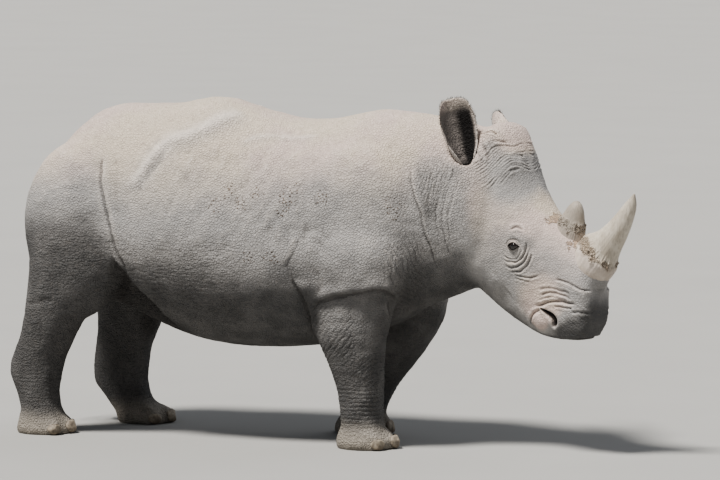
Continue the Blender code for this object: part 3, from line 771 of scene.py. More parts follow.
# %% [markdown]
# ## Ribs and unevenness
# Faint ribs show through the flank. Three layers of noise, with lumps of 30, 5 and 2 cm, take
# away the last trace of a machine-made surface. The broadest stays off head and lower legs.

# %% Ribs and lumps
ribs = window(x, -0.72, -0.10, 0.15) * window(z, 0.98, 1.28, 0.12) * ramp(side_out, 0.15, 0.28)
lift += 0.0020 * ribs * fading * np.sin(2 * np.pi * (x - 0.55 * z + 0.03 * waver) / 0.094)
broad = 0.0070 * noise(spots, (0.30, 0.30, 0.26), 16) * ramp(z, 0.45, 0.7)
lift += broad * (1 - ramp(local[:, 0], -0.2, 0.0))
lift += 0.0012 * noise(spots, (0.05, 0.05, 0.03), 14) + 0.0006 * noise(spots, 0.018, 15)
print("the hide moves by", round(float(lift.min()), 4), "to", round(float(lift.max()), 4), "m")

# %% [markdown]
# ## Nostrils and lips
# The nostril is a comma-shaped pit above a fleshy bulge: at each place along its course the pit has
# a radius and a depth. The mouth runs along the underside of the square muzzle as a narrow slit
# between two rounded lips. Both are pressed in along the normals, like the strokes, and the pit and
# the slit also get painted shade in their colour.

# %% Nostrils and lips
mirrored = folded(local)
recess_shade = np.zeros(len(spots))
NOSTRIL = [  # h, l, u, radius, depth
    (.618, .120, -.122, .004, .006), (.650, .118, -.122, .009, .018),
    (.680, .116, -.124, .013, .030), (.700, .114, -.136, .014, .032),
    (.706, .112, -.158, .010, .020)]
pit = spline(NOSTRIL, 40)
near = np.flatnonzero(np.linalg.norm(mirrored - [.67, .115, -.135], axis=1) < 0.11)
gaps = np.linalg.norm(mirrored[near, None, :] - pit[:, :3], axis=2)
best = (gaps / pit[:, 3]).argmin(1)
rows = np.arange(len(near))
inside = np.exp(-(gaps[rows, best] / pit[best, 3]) ** 4)
rim = np.exp(-((gaps[rows, best] - 2.0 * pit[best, 3]) / (0.9 * pit[best, 3])) ** 2)
lift[near] += -pit[best, 4] * inside + 0.0030 * rim
# Painted shade inside the nostril pit.
recess_shade[near] = inside
bulge = np.linalg.norm((mirrored - [.630, .105, -.188]) / [.042, .05, .040], axis=1)
lift += 0.019 * np.exp(-bulge ** 3)
LIPS = [(.590, .080, -.252), (.660, .078, -.244), (.735, .080, -.216), (.795, .082, -.182),
        (.832, .062, -.155), (.848, .0, -.145)]
lips = spline(LIPS, 60)
near = np.flatnonzero((local[:, 0] > 0.54) & (local[:, 2] < -0.10))
gap = np.linalg.norm(mirrored[near, None, :] - lips, axis=2).min(1)
slit, rounding = np.exp(-(gap / 0.006) ** 2), np.exp(-((gap - 0.017) / 0.011) ** 2)
lift[near] += 0.010 * (-slit + 0.5 * rounding)
# Painted shade along the mouth slit.
recess_shade[near] = np.maximum(recess_shade[near], np.exp(-(gap / 0.009) ** 2))
spots = spots + facing * lift[:, None]
spots[:, 2] = np.maximum(spots[:, 2], 0.0)
print("nostrils and lips are cut, and every lift is done")

# %% [markdown]
# ## Eyelids
# The skin round the eye is drawn over the eyeball as a thin dome, and an almond-shaped opening
# is sunk into it, with a raised edge and a fold above. Working on an even grid of corners is
# safer here than cutting the mesh, which would leave a torn rim.

# %% Eyelids
OPENING = (0.0262, 0.0162)  # half its length and half its height
LID = 0.0035
lid_ring = np.zeros(len(spots))
EYE_AXES = {}
for side, sign in SIDES.items():
    out = (TURN @ Vector((0.12, sign, 0.06, 0))).to_3d().normalized()
    long_way = (TURN @ Vector((0.883, 0.0, 0.469, 0))).to_3d()
    long_way = (long_way - out * long_way.dot(out)).normalized()
    short_way = Vector((0, 0, 1))
    short_way = (short_way - out * short_way.dot(out) -
                 long_way * short_way.dot(long_way)).normalized()
    EYE_AXES[side] = (out, long_way, short_way)
    axes = np.array([long_way, short_way, out])
    near = np.flatnonzero(np.linalg.norm(spots - EYE_AT[side], axis=1) < 0.075)
    a, b, n = ((spots[near] - EYE_AT[side]) @ axes.T).T
    reach = np.hypot(a, b)
    ball_high = np.sqrt(np.maximum((EYE_RADIUS + LID) ** 2 - reach ** 2, 0))
    socket_rim = np.sqrt(np.maximum((EYE_RADIUS + LID) ** 2 - 0.026 ** 2, 0))
    ball_high = np.where(reach < 0.026, ball_high, socket_rim)
    share = 1 - ramp(reach, 0.024, 0.052)
    lidded = n + (ball_high - n) * share
    half = np.where(b > 0, OPENING[1], OPENING[1] * 0.85)
    half *= 1 - np.clip(a / OPENING[0], -1, 1) ** 2
    gap = (np.abs(b) - half) / 0.004
    opened = (1 - ramp(gap, -0.6, 0.4)) * (1 - ramp(np.abs(a), 0.88 * OPENING[0], OPENING[0]))
    lidded -= 0.012 * opened
    edge = np.exp(-((gap - 1.0) / 0.9) ** 2) * (np.abs(a) < OPENING[0] * 1.12)
    lidded += 0.0016 * edge * (1 - opened)
    fold = np.exp(-((reach - 0.034 - 0.002 * np.sin(3 * np.arctan2(b, a))) / 0.0022) ** 2)
    lidded -= 0.0026 * fold * ramp(b, -0.002, 0.012)
    spots[near] = np.array(EYE_AT[side]) + np.stack([a, b, lidded], axis=1) @ axes
    shadow = (1 - ramp(gap, 0.2, 2.2)) * (np.abs(a) < OPENING[0] * 1.2)
    lid_ring[near] = np.maximum(lid_ring[near], shadow)
set_places(form, spots)
print("lids are drawn over both eyes")

# %% [markdown]
# ## What the surface knows about itself
# Each corner keeps a few numbers that the hide's material reads: how hollow it lies, how much it
# faces up, how much painted shade it takes in the lids, nostrils and mouth, and how much it belongs
# to the neck, the face and the zones of wavy creases. A number kept on the mesh follows every fold,
# which a picture would not.

# %% Hollows and zones


def keep_number(mesh, name, values):
    """Stores one number per corner under a name."""
    layer = mesh.attributes.new(name, "FLOAT", "POINT")
    layer.data.foreach_set("value", np.asarray(values, np.float32))


facing = normals(form)
fine_hollow = ((smoothed(spots, edge_ends(form), 4) - spots) * facing).sum(1) / 0.0006
broad_hollow = ((smoothed(spots, edge_ends(form), 30) - spots) * facing).sum(1) / 0.0030
keep_number(form, "hollow", np.clip(0.6 * fine_hollow + 0.6 * broad_hollow, -1, 1))
# Painted shade in the nostrils, the mouth slit and round the eye openings.
keep_number(form, "recess_shade", np.maximum(recess_shade, lid_ring))
keep_number(form, "neck", np.clip(neck_share + throat_share, 0, 1))
keep_number(form, "face", ramp(local[:, 0], 0.02, 0.14) * ramp(x, 0.66, 0.76))
keep_number(form, "waves", np.clip(flank_share + thigh_share + 0.5 * forearm_share +
                                   0.5 * (1 - ramp(z, 0.30, 0.60)), 0, 1))
keep_number(form, "upward", smoothed(facing, edge_ends(form), 30)[:, 2])
print("numbers kept:", [layer.name for layer in form.attributes][:6])

# %% [markdown]
# ## Darker and paler parts
# This map holds painted light and shade as well as the skin's own variations: above 0 the skin
# comes out darker, below 0 paler. Painted shade darkens the front of the muzzle, the foot of the
# neck on the near side and the back of the thigh, and painted highlight pales the sides of the
# snout. The forehead, the wrinkled neck and a band of the lower flank are darker, and the bulge
# under the nostril, the throat and the crown are paler.

# %% Tones
forehead_gap = (mirrored - [.19, .06, .31]) / [.14, .15, .14]
snout_gap = (mirrored - [.60, .06, -.10]) / [.15, .12, .14]
front_of_nose = ramp(local[:, 0], 0.66, 0.82) * ramp(-local[:, 2], 0.02, 0.15)
crown_gap = np.linalg.norm(mirrored - [.08, .04, .45], axis=1)
front_of_nose = np.maximum(front_of_nose, ramp(local[:, 0], 0.76, 0.86) * (local[:, 2] < 0.08))
tones_and_shade = 1.3 * np.exp(-(forehead_gap ** 2).sum(1) ** 1.5)
# Painted highlight on the sides of the snout, where they face sideways.
tones_and_shade -= 1.2 * np.exp(-(snout_gap ** 2).sum(1) ** 2) * ramp(np.abs(facing[:, 1]), 0.3, 0.7)
# Painted shade on the front of the muzzle.
tones_and_shade += 1.25 * front_of_nose
tones_and_shade -= 0.9 * np.exp(-(bulge / 1.1) ** 4)
tones_and_shade -= 0.1 * throat_share
tones_and_shade += neck_share * (0.20 + 0.28 * window(z, 0.92, 1.10, 0.08))
# Painted shadow at the foot of the neck before the shoulder, on the near side only.
tones_and_shade += 0.12 * window(x, 0.40, 0.50, 0.10) * window(z, 0.80, 0.92, 0.10) * (spots[:, 1] < 0)
# Painted shade on the back of the thigh.
tones_and_shade += 0.8 * ramp(-x, 0.90, 1.10) * (1 - ramp(z, 0.72, 1.26))
tones_and_shade += 0.18 * window(x, -0.85, -0.02, 0.10) * window(z, 0.66, 0.78, 0.14)
tones_and_shade -= 0.5 * (1 - ramp(crown_gap, 0.04, 0.12))
keep_number(form, "tone_and_shade", tones_and_shade)
keep_number(form, "ridge_highlight", ridge_highlight)
groin = window(x, -0.98, -0.68, 0.09) * window(z, 0.44, 0.66, 0.09)
groin *= 1 - ramp(side_out, 0.20, 0.29)
hock = 0.4 * ramp(-x, 0.98, 1.12) * (1 - ramp(z, 0.35, 0.65)) * ramp(z, 0.06, 0.14)
keep_number(form, "shaded", np.maximum(groin, hock))
print("tones run from", round(float(tones_and_shade.min()), 2), "to", round(float(tones_and_shade.max()), 2))

# %% [markdown]
# ## Dried mud and crusts
# A dozen spots of dried mud lie on the flank, each given by its place in side view. Two crusts
# of dirt sit on the bridge of the nose, behind and between the horns.

# %% Mud and crusts
MUD = [(-.365, 1.165), (-.300, 1.106), (-.425, 1.084), (-.240, 1.147), (-.095, 1.130),
       (-.070, 1.174), (-.110, 1.085), (.070, 1.137), (.405, 1.118), (.412, 1.080),
       (-.262, .872), (-.160, .864)]
mud = np.zeros(len(spots))
for mud_x, mud_z in MUD:
    ahead = np.where(spots[:, 1] > 0, 0.06, 0.0)
    gap = np.hypot(spots[:, 0] - mud_x - ahead, spots[:, 2] - mud_z)
    mud = np.maximum(mud, np.exp(-(gap / 0.045) ** 2) * (side_out > 0.2))
keep_number(form, "mud", mud)
crusts = [np.exp(-(np.linalg.norm((local - [h, -.01, u]) / [.040, .075, .045], axis=1)) ** 2)
          for h, u in ((.440, .225), (.585, .180))]
keep_number(form, "crust", np.maximum(*crusts))
print("spots of mud on each side:", len(MUD))

# %% [markdown]
# ## The inside of the ears
# A corner lies inside an ear when it is on the hollow side of the curled leaf. The rim stays as
# pale as the back of the ear, and the depth of the cup gets a painted shadow that is almost black.

# %% Ear numbers
in_ear, in_cup_shadow = np.zeros(len(spots)), np.zeros(len(spots))
for side in SIDES:
    root, along, opened, across = ear_frame(side)
    gap = spots - root
    part = gap @ along / EAR_LENGTH
    width, curl = ear_section(part)
    radius = width / np.sin(np.minimum(curl, np.pi / 2))
    centre = gap - opened * (radius - 0.5 * width)[:, None]
    ring = np.hypot(centre @ opened, centre @ across)
    turn = np.abs(np.arctan2(centre @ across, -(centre @ opened)))
    toward = centre @ across * (1 if side == "right" else -1)
    rim_from = 0.86 - 0.30 * (toward > 0)
    turned = turn / curl * ramp(ring / radius, 0.70, 0.85)
    near_rim = np.maximum(ramp(turned, rim_from, rim_from + 0.10), ramp(part, 0.79, 0.86))
    inside_ear = (ring < radius + 0.001) + (ring < radius + 0.008) * (part < 0.10)
    inside_ear = np.clip(inside_ear, 0, 1) * window(part, -0.01, 1.0, 0.03)
    in_ear = np.maximum(in_ear, inside_ear * (1 - near_rim))
    # Painted shadow deep in the ear's cup.
    cup_shadow = ramp(toward / radius + 0.15 * part, -0.10, 0.45) * window(part, -0.1, 0.74, 0.22)
    cup_shadow = np.maximum(cup_shadow, 1 - ramp(part, 0.02, 0.24))
    in_cup_shadow = np.maximum(in_cup_shadow, inside_ear * cup_shadow * (1 - ramp(turned, 0.70, 0.92)))
keep_number(form, "ear_cup_shadow", in_cup_shadow)
keep_number(form, "ear", in_ear)
print("corners inside the ears:", int((in_ear > 0.5).sum()))

# %% [markdown]
# ## Writing materials as sums
# A Wire is a socket that can be added, subtracted and multiplied, and each operation adds a
# Math node. A Surface holds one material, and its node method adds any other kind of node, so
# a finish reads as a short sum instead of a page of links.

# %% Wires and surfaces


class Wire:
    """A number, colour or vector that flows through a material."""

    def __init__(self, surface, socket):
        self.surface, self.socket = surface, socket

    def maths(self, operation, first, second):
        return self.surface.node("Math", {0: first, 1: second}, operation=operation)

    def __add__(self, other):
        return self.maths("ADD", self, other)

    def __sub__(self, other):
        return self.maths("SUBTRACT", self, other)

    def __rsub__(self, other):
        return self.maths("SUBTRACT", other, self)

    def __mul__(self, other):
        return self.maths("MULTIPLY", self, other)

    __radd__, __rmul__ = __add__, __mul__

    def between(self, low, high):
        """0 at low, 1 at high and an even curve between, held at its ends."""
        return self.surface.node("MapRange", {"Value": self, "From Min": low, "From Max": high},
                                 interpolation_type="SMOOTHSTEP")


class Surface:
    """A material built by adding nodes."""

    def __init__(self, name, roughness=0.8, **constants):
        self.material = bpy.data.materials.new(name)
        self.material.use_nodes = True
        self.tree = self.material.node_tree
        self.shader = self.tree.nodes["Principled BSDF"]
        self.shader.inputs["Roughness"].default_value = roughness
        for socket, value in constants.items():
            self.shader.inputs[socket.replace("_", " ")].default_value = value
        self.place = self.node("TexCoord", {}, "Object")

    def node(self, kind, values, out=0, **settings):
        """Adds a node, with its settings first and then the values or links of its sockets."""
        node = self.tree.nodes.new("ShaderNode" + kind)
        for key, value in settings.items():
            setattr(node, key, value)
        for key, value in values.items():
            if isinstance(value, Wire):
                self.tree.links.new(value.socket, node.inputs[key])
            else:
                node.inputs[key].default_value = value
        return Wire(self, node.outputs[out])

    def feed(self, socket, wire):
        """Links a wire to the shader."""
        self.tree.links.new(wire.socket, self.shader.inputs[socket])

    def number(self, name):
        """A number that the mesh keeps per corner."""
        return self.node("Attribute", {}, "Fac", attribute_name=name)

    def stretched(self, scale, turn=(0, 0, 0)):
        """Places scaled and turned before a texture reads them."""
        return self.node("Mapping", {"Vector": self.place, "Scale": scale, "Rotation": turn})

    def bent(self, place, scale, amount):
        """Places pushed about by noise, so that a texture's lines wander."""
        push = self.node("TexNoise", {"Vector": place, "Scale": scale, "Detail": 2.0}, "Color")
        push = self.node("VectorMath", {0: push, 1: (0.5, 0.5, 0.5)}, operation="SUBTRACT")
        push = self.node("VectorMath", {0: push, "Scale": amount}, operation="SCALE")
        return self.node("VectorMath", {0: place, 1: push}, operation="ADD")

    def cloud(self, scale, detail=4.0, place=None):
        """Soft noise from 0 to 1."""
        return self.node("TexNoise", {"Vector": place or self.place, "Scale": scale,
                                      "Detail": detail, "Roughness": 0.55})

    def cells(self, scale, place=None, feature="DISTANCE_TO_EDGE"):
        """Distance from the edges of cells, which makes a net of cracks."""
        return self.node("TexVoronoi", {"Vector": place or self.place, "Scale": scale},
                         "Distance", feature=feature)

    def mix(self, share, first, second):
        """A share of the second colour over the first."""
        return self.node("Mix", {0: share, 6: first, 7: second}, 2, data_type="RGBA",
                         clamp_factor=True)

    def relief(self, *layers):
        """Bump from (height, distance) pairs, one over another."""
        facing = None
        for height, distance in layers:
            values = {"Height": height, "Distance": distance, "Strength": 1.0}
            if facing:
                values["Normal"] = facing
            facing = self.node("Bump", values, "Normal")
        self.feed("Normal", facing)


def shade(red, green, blue):
    """A colour as paint charts give it, 0 to 255, made linear."""
    parts = [(c / 255 + 0.055) / 1.055 for c in (red, green, blue)]
    return tuple(part ** 2.4 for part in parts) + (1.0,)


print("surface tools ready")

# %% [markdown]
# ## The hide's look
# Grey skin under pale beige dust. The dust settles where the hide faces up and high on the back,
# and thins out down the flanks. The same sum also paints light and shade into the colour: the top
# and the face come out paler as painted light, and the underside, the belly and the legs darker as
# painted shade. It decides between grey, pale grey and beige, and the feet carry the brownish dust
# of the ground.

# %% Dust over grey skin
skin = Surface("dusty_grey_hide", 0.86, Specular_IOR_Level=0.28)
height = skin.node("SeparateXYZ", {0: skin.place}, "Z")
patches = skin.cloud(2.3, 5.0)
blotches = skin.cloud(9.0, 6.0)
specks = skin.cloud(55.0, 3.0)
face, neck, upward = (skin.number(name) for name in ("face", "neck", "upward"))
tone_and_shade = skin.number("tone_and_shade")
# Dust and painted light in one sum: paler where the hide faces up, lies high or belongs to the
# face, and painted shade darker underneath and low down.
dust_and_shade = upward * 0.38 + height * 0.60 + patches * 0.36 + face * 0.24 - tone_and_shade * 0.50 - 0.60
grey = skin.mix(blotches.between(0.35, 0.70), shade(83, 83, 83), shade(105, 104, 103))
pale_grey = skin.mix(blotches.between(0.30, 0.70), shade(161, 159, 157), shade(176, 173, 170))
beige = skin.mix(patches.between(0.40, 0.60), shade(206, 189, 180), shade(208, 195, 178))
colour = skin.mix(dust_and_shade.between(-0.30, 0.26), grey, pale_grey)
colour = skin.mix(dust_and_shade.between(0.22, 0.66), colour, beige)
foot_dust = (height * -1.0 + patches * 0.12 - 0.06).between(-0.14, -0.04)
colour = skin.mix(foot_dust * 0.60, colour, shade(174, 165, 151))
colour = skin.mix(skin.number("shaded") * 0.75, colour, shade(48, 47, 47))
colour = skin.mix(specks.between(0.52, 0.80) * 0.30, colour, shade(118, 110, 102))
colour = skin.mix(specks.between(0.48, 0.20) * dust_and_shade.between(-0.1, 0.5) * 0.25, colour,
                  shade(222, 213, 203))
print("dust and grey take", len(skin.tree.nodes), "nodes")

# %% [markdown]
# ## Cracks and creases
# The skin is cracked like dry ground, in a net of small cells and a finer one. A third net is drawn
# out: flat and wide on flanks and legs, where it reads as wavy creases, and upright on the neck.
# The lines of the nets are darker as painted shade in the cracks and creases, the hollows get
# painted shade too, and the crests come out paler, a painted highlight together with rubbed dust.

# %% Cracks and creases
net = skin.cells(80.0, skin.bent(skin.place, 22.0, 0.010)).between(0.0, 0.30)
fine_net = skin.cells(210.0, skin.bent(skin.place, 60.0, 0.004)).between(0.0, 0.30)
waves_place = skin.bent(skin.stretched((19.0, 19.0, 55.0)), 1.4, 1.1)
waves = skin.cells(1.1, waves_place).between(0.0, 0.40)
upright_place = skin.bent(skin.stretched((52.0, 20.0, 11.0)), 1.4, 1.0)
uprights = skin.cells(1.1, upright_place).between(0.0, 0.40)
creases = waves * (1 - neck) + uprights * neck
wavy = (skin.number("waves") * 0.85 + 0.06) * (1 - neck) + neck * 1.1
# Painted shade in the cracks and along the crease lines.
colour = skin.mix((1 - net) * 0.16, colour, shade(108, 103, 98))
colour = skin.mix((1 - creases) * wavy * 0.20, colour, shade(92, 88, 84))
hollow = skin.number("hollow")
# Painted shade in the hollows.
colour = skin.mix(hollow.between(0.10, 0.95) * 0.44, colour, shade(62, 59, 57))
# Painted highlight with rubbed dust along the crests of the great ridges.
colour = skin.mix(skin.number("ridge_highlight") * 0.46, colour, shade(216, 212, 209))
# Painted highlight on convex crests, together with rubbed dust where dust lies.
crests = hollow.between(-0.10, -0.95) * dust_and_shade.between(-0.10, 0.40)
colour = skin.mix(crests * 0.35, colour, shade(218, 209, 199))
print("with cracks and creases", len(skin.tree.nodes), "nodes")

# %% [markdown]
# ## Mud, ears and relief
# Crumbs of mud and crusts lie on top. Last of all come the grey inside of the ears, painted shadow
# deep in their cups, and painted shade in the nostrils, the mouth slit and round the eye openings.
# The bump layers run from coarse to fine, each one over the one before.

# %% Mud, ears and relief
crumbs = skin.cells(78.0, skin.bent(skin.place, 90.0, 0.006), "F1").between(0.38, 0.16)
mud = crumbs * (skin.number("mud") + skin.cloud(30.0, 2.0) * 1.5 - 1.15).between(0.0, 0.25)
crust = (skin.number("crust") + skin.cloud(60.0, 4.0) * 1.6 - 1.24).between(0.0, 0.25)
colour = skin.mix(mud * 0.70, colour, shade(112, 92, 74))
crust_colour = skin.mix(specks.between(0.35, 0.60), shade(118, 98, 80), shade(172, 148, 122))
colour = skin.mix(crust * 0.70, colour, crust_colour)
colour = skin.mix(skin.number("ear") * 0.88, colour, shade(128, 122, 118))
# Painted shadow deep in the ear cups.
colour = skin.mix(skin.number("ear_cup_shadow") * 0.97, colour, shade(17, 15, 15))
# Painted shade in the nostrils, the mouth slit and round the eye openings.
colour = skin.mix(skin.number("recess_shade"), colour, shade(30, 26, 26))
skin.feed("Base Color", colour)
skin.feed("Roughness", (blotches * 0.16 + 0.76) - skin.number("recess_shade") * 0.35)
skin.relief((mud, 0.0040), (crust, 0.0060), (creases * wavy, 0.0034),
            (net * (1 - face * 0.55), 0.0030), (fine_net, 0.0005),
            (skin.cloud(260.0, 3.0), 0.0005))
print("hide material with", len(skin.tree.nodes), "nodes")

# %% [markdown]
# ## The finished hide
# The hide becomes one object that stands for all the nodes of flesh, the tail and the ears. Each
# piece rides on the root, says which finish it has, and hides the solid nodes it takes over.

# %% The hide as a piece


def piece(name, mesh, surface, slot, *nodes):
    """An object of the model that rides on the root and stands for CAD nodes."""
    thing = bpy.data.objects.new(name, mesh)
    bpy.context.scene.collection.objects.link(thing)
    mesh.polygons.foreach_set("use_smooth", [True] * len(mesh.polygons))
    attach(thing, "root")
    if nodes:
        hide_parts(*nodes)
    mesh.materials.clear()
    mesh.materials.append(surface.material)
    return thing


hide = piece("hide", form, skin, "hide", *FLESH, "tail", "ear_right", "ear_left")
print("hide with", len(hide.data.polygons), "faces")

# %% [markdown]
# ## Horns
# Horn is packed hair-like fibre. Both horns are bent cones over rings given by their place on
# the head and their half length and half width, with fine lengthwise fibres. Round the lower
# part runs a belt of rough flakes, and noise keeps its edges from looking like a ring.

# %% The horns' shape
HORNS = {  # h, u, half length, half width
    "horn_front": [(.680, .066, .092, .082), (.696, .165, .108, .086), (.703, .212, .104, .080),
                   (.712, .245, .087, .070), (.725, .290, .068, .058), (.738, .350, .055, .048),
                   (.746, .420, .042, .037), (.747, .488, .027, .024), (.740, .540, .004, .004)],
    "horn_rear": [(.522, .165, .084, .062), (.517, .228, .074, .055), (.508, .278, .054, .045),
                  (.500, .318, .038, .033), (.495, .342, .022, .021), (.493, .353, .007, .007)],
}


def horn_mesh(name, steps=150, points=160):
    """A bent cone along the horn's rings, with fibres and rough patches."""
    rows = spline(HORNS[name], steps)
    ways = np.gradient(rows[:, :2], axis=0)
    ways /= np.linalg.norm(ways, axis=1)[:, None]
    spins = np.linspace(0, 2 * np.pi, points, endpoint=False)
    rings = []
    for (h, u, half_length, half_width), (dh, du) in zip(rows, ways):
        rings.append([(h + du * half_length * math.cos(s), half_width * math.sin(s),
                       u - dh * half_length * math.cos(s)) for s in spins])
    mesh = grid_mesh(name, rings)
    spots, facing = places(mesh), normals(mesh)
    height = np.repeat(np.linspace(0, 1, steps), points)
    spin = np.tile(spins, steps)
    thin = np.clip(rows[:, 3].repeat(points) / 0.08, 0, 1)
    twist = np.stack([np.cos(spin) * 6, np.sin(spin) * 6, height * 2.2], axis=1)
    fibres = noise(twist * 3.2, 1.0, 3) + 0.6 * noise(twist * 7.0, 1.0, 4)
    uneven = height + 0.05 * noise(twist * [0.5, 0.5, 3], 1.0, 6) + 0.02 * noise(twist, 0.5, 8)
    belt = ramp(uneven, 0.13, 0.25) * (1 - ramp(uneven, 0.30, 0.46))
    belt *= 0.55 + 0.45 * ramp(noise(twist * [0.3, 0.3, 2], 1.0, 9), -0.5, 0.3)
    flakes = np.maximum(noise(twist * [2.2, 2.2, 9], 1.0, 5), 0)
    flakes *= 0.2 * ramp(height, 0.1, 0.2) + belt
    flakes *= 1 - ramp(height, 0.30, 0.46)
    rise = thin * (0.0009 * fibres * (1 - 0.7 * belt) + 0.0095 * flakes)
    set_places(mesh, spots + facing * rise[:, None])
    mesh.transform(HEAD)
    keep_number(mesh, "height", height)
    keep_number(mesh, "belt", belt)
    keep_number(mesh, "rear", np.full(len(spots), float(name == "horn_rear")))
    return mesh


horn_meshes = {name: horn_mesh(name) for name in HORNS}
print("horns of", [len(mesh.vertices) for mesh in horn_meshes.values()], "corners")

# %% [markdown]
# ## The horns' look
# Pale horn with darker fibres, pinkish at the root, with a brown band of painted shade where it
# meets the skin. The belt's peeling flakes take one hue for each cell of a net, and its edges are
# brown. The rear horn and the tips are greyer.

# %% Horn material
fibre = Surface("horn_fibre", 0.55, Specular_IOR_Level=0.35)
strands = fibre.cloud(1.0, 5.0, fibre.stretched((150.0, 150.0, 9.0), (0.0, 0.45, 0.3)))
stains, up = fibre.cloud(16.0, 5.0), fibre.number("height")
horn_colour = fibre.mix(stains.between(0.30, 0.70), shade(206, 198, 184), shade(182, 172, 157))
horn_colour = fibre.mix(strands.between(0.55, 0.30) * 0.40, horn_colour, shade(134, 124, 110))
belt = fibre.number("belt")
scales = fibre.bent(fibre.place, 30.0, 0.014)
scale_hue = fibre.node("TexVoronoi", {"Vector": scales, "Scale": 95.0}, "Color")
scale_hue = fibre.node("SeparateColor", {0: scale_hue}, "Red")
scale_edge = fibre.cells(95.0, scales).between(0.0, 0.30)
peeled = (belt + fibre.cloud(20.0, 5.0) * 2.4 - 1.62).between(0.0, 0.55)
flaky = fibre.mix(scale_hue.between(0.25, 0.85), shade(188, 173, 154), shade(160, 140, 117))
flaky = fibre.mix((1 - scale_edge) * 0.55, flaky, shade(112, 92, 74))
pink = fibre.mix(stains.between(0.35, 0.65), shade(212, 200, 190), shade(190, 177, 165))
horn_colour = fibre.mix(up.between(0.34, 0.16) * 0.75, horn_colour, pink)
# Painted shade: a brown band where the horn meets the skin.
horn_colour = fibre.mix(up.between(0.105, 0.03) * 0.55, horn_colour, shade(126, 108, 92))
horn_colour = fibre.mix(peeled * 0.68, horn_colour, flaky)
greyed = fibre.cloud(5.0, 3.0).between(0.46, 0.60) * 0.30 + fibre.number("rear") * 0.50
horn_colour = fibre.mix(greyed, horn_colour, shade(150, 142, 132))
horn_colour = fibre.mix(up.between(0.80, 1.0) * 0.35, horn_colour, shade(140, 132, 120))
fibre.feed("Base Color", horn_colour)
fibre.feed("Roughness", strands * 0.25 + 0.42)
fibre.relief(((scale_edge + scale_hue) * peeled, 0.0050), (strands, 0.0020),
             (fibre.cloud(200.0), 0.0006))
for name, mesh in horn_meshes.items():
    piece(name + "_fibre", mesh, fibre, "horn", name)
print("horns:", sorted(HORNS))

# %% [markdown]
# ## Eyes
# A dark brown eyeball with a wide pupil, wet under a clear coat. The numbers kept on the mesh
# say how far each corner lies from the way the eye looks.

# %% Eyes
wet = Surface("wet_eye", 0.22, Coat_Weight=1.0, Coat_Roughness=0.03, Specular_IOR_Level=0.6)
off_axis = wet.number("off_axis")
streaks = wet.cloud(900.0, 3.0)
eye_colour = wet.mix(off_axis.between(0.52, 0.60), shade(34, 22, 16), shade(52, 40, 35))
eye_colour = wet.mix(off_axis.between(0.30, 0.24), eye_colour, shade(8, 7, 8))
eye_colour = wet.mix(streaks.between(0.4, 0.7) * 0.4, eye_colour, shade(30, 20, 15))
wet.feed("Base Color", eye_colour)
wet.feed("Roughness", streaks * 0.12 + 0.14)
wet.relief((streaks, 0.00008), (wet.cloud(250.0), 0.00008))


def eyeball(side, rings=48, columns=64):
    """A ball with a raised cornea that looks outwards."""
    out, long_way, short_way = EYE_AXES[side]
    points, offs = [], []
    for lean in np.linspace(0.01, np.pi - 0.01, rings):
        radius = EYE_RADIUS * (1 + 0.045 * (1 - float(ramp(np.array(lean), 0.45, 0.62))))
        ring = []
        for spin in np.linspace(0, 2 * np.pi, columns, endpoint=False):
            flat = long_way * math.cos(spin) + short_way * math.sin(spin)
            ring.append(EYE_AT[side] + (out * math.cos(lean) + flat * math.sin(lean)) * radius)
        points.append(ring)
        offs += [math.sin(lean) if lean < np.pi / 2 else 1.0] * columns
    mesh = grid_mesh("eyeball_" + side, points)
    keep_number(mesh, "off_axis", offs)
    return mesh


for side in SIDES:
    piece("eyeball_" + side, eyeball(side), wet, "eye", "eye_" + side)
print("eyes are set")

# %% [markdown]
# ## Nails
# Three broad nails on each foot. They are the solid nails remeshed finely and made smooth, then
# worn uneven by noise that is drawn out along their height.

# %% Nails
NAIL_VOXEL, NAIL_WEAR = 0.0035, 0.0007
claw = Surface("worn_nail", 0.6, Specular_IOR_Level=0.35)
grain = claw.cloud(1.0, 4.0, claw.stretched((120.0, 120.0, 25.0)))
scuffs = claw.cloud(38.0, 5.0)
low = claw.node("SeparateXYZ", {0: claw.place}, "Z")
claw_colour = claw.mix(scuffs.between(0.35, 0.65), shade(122, 112, 100), shade(166, 156, 140))
claw_colour = claw.mix(grain.between(0.55, 0.30) * 0.5, claw_colour, shade(88, 79, 70))
claw_colour = claw.mix(low.between(0.030, 0.004) * 0.6, claw_colour, shade(104, 90, 72))
claw.feed("Base Color", claw_colour)
claw.feed("Roughness", scuffs * 0.3 + 0.5)
claw.relief((grain, 0.0015), (scuffs, 0.0012), (claw.cloud(300.0), 0.0004))
nails = [name for name in frame["nodes"] if "nail" in name]
for name in nails:
    block = from_modifier(swollen(name), "REMESH", mode="VOXEL", voxel_size=NAIL_VOXEL)
    spots = smoothed(places(block), edge_ends(block), 8)
    set_places(block, spots)
    worn = noise(spots, (0.008, 0.008, 0.05), 21) + 0.6 * noise(spots, 0.02, 22)
    spots = spots + normals(block) * (NAIL_WEAR * worn)[:, None]
    spots[:, 2] = np.maximum(spots[:, 2], 0.0)
    set_places(block, spots)
    piece(name + "_worn", block, claw, "nail", name)
print("nails:", len(nails))

# %% [markdown]
# ## Hair
# This animal has hair only on the ears' edges, at the end of the tail and on the eyelids. Each tuft
# is a thin bent spike of mesh. The map OFBake gives each spike a small patch of its own at its
# root's place on the opened-out skin.

# %% How a tuft is made
PATCH = 0.003


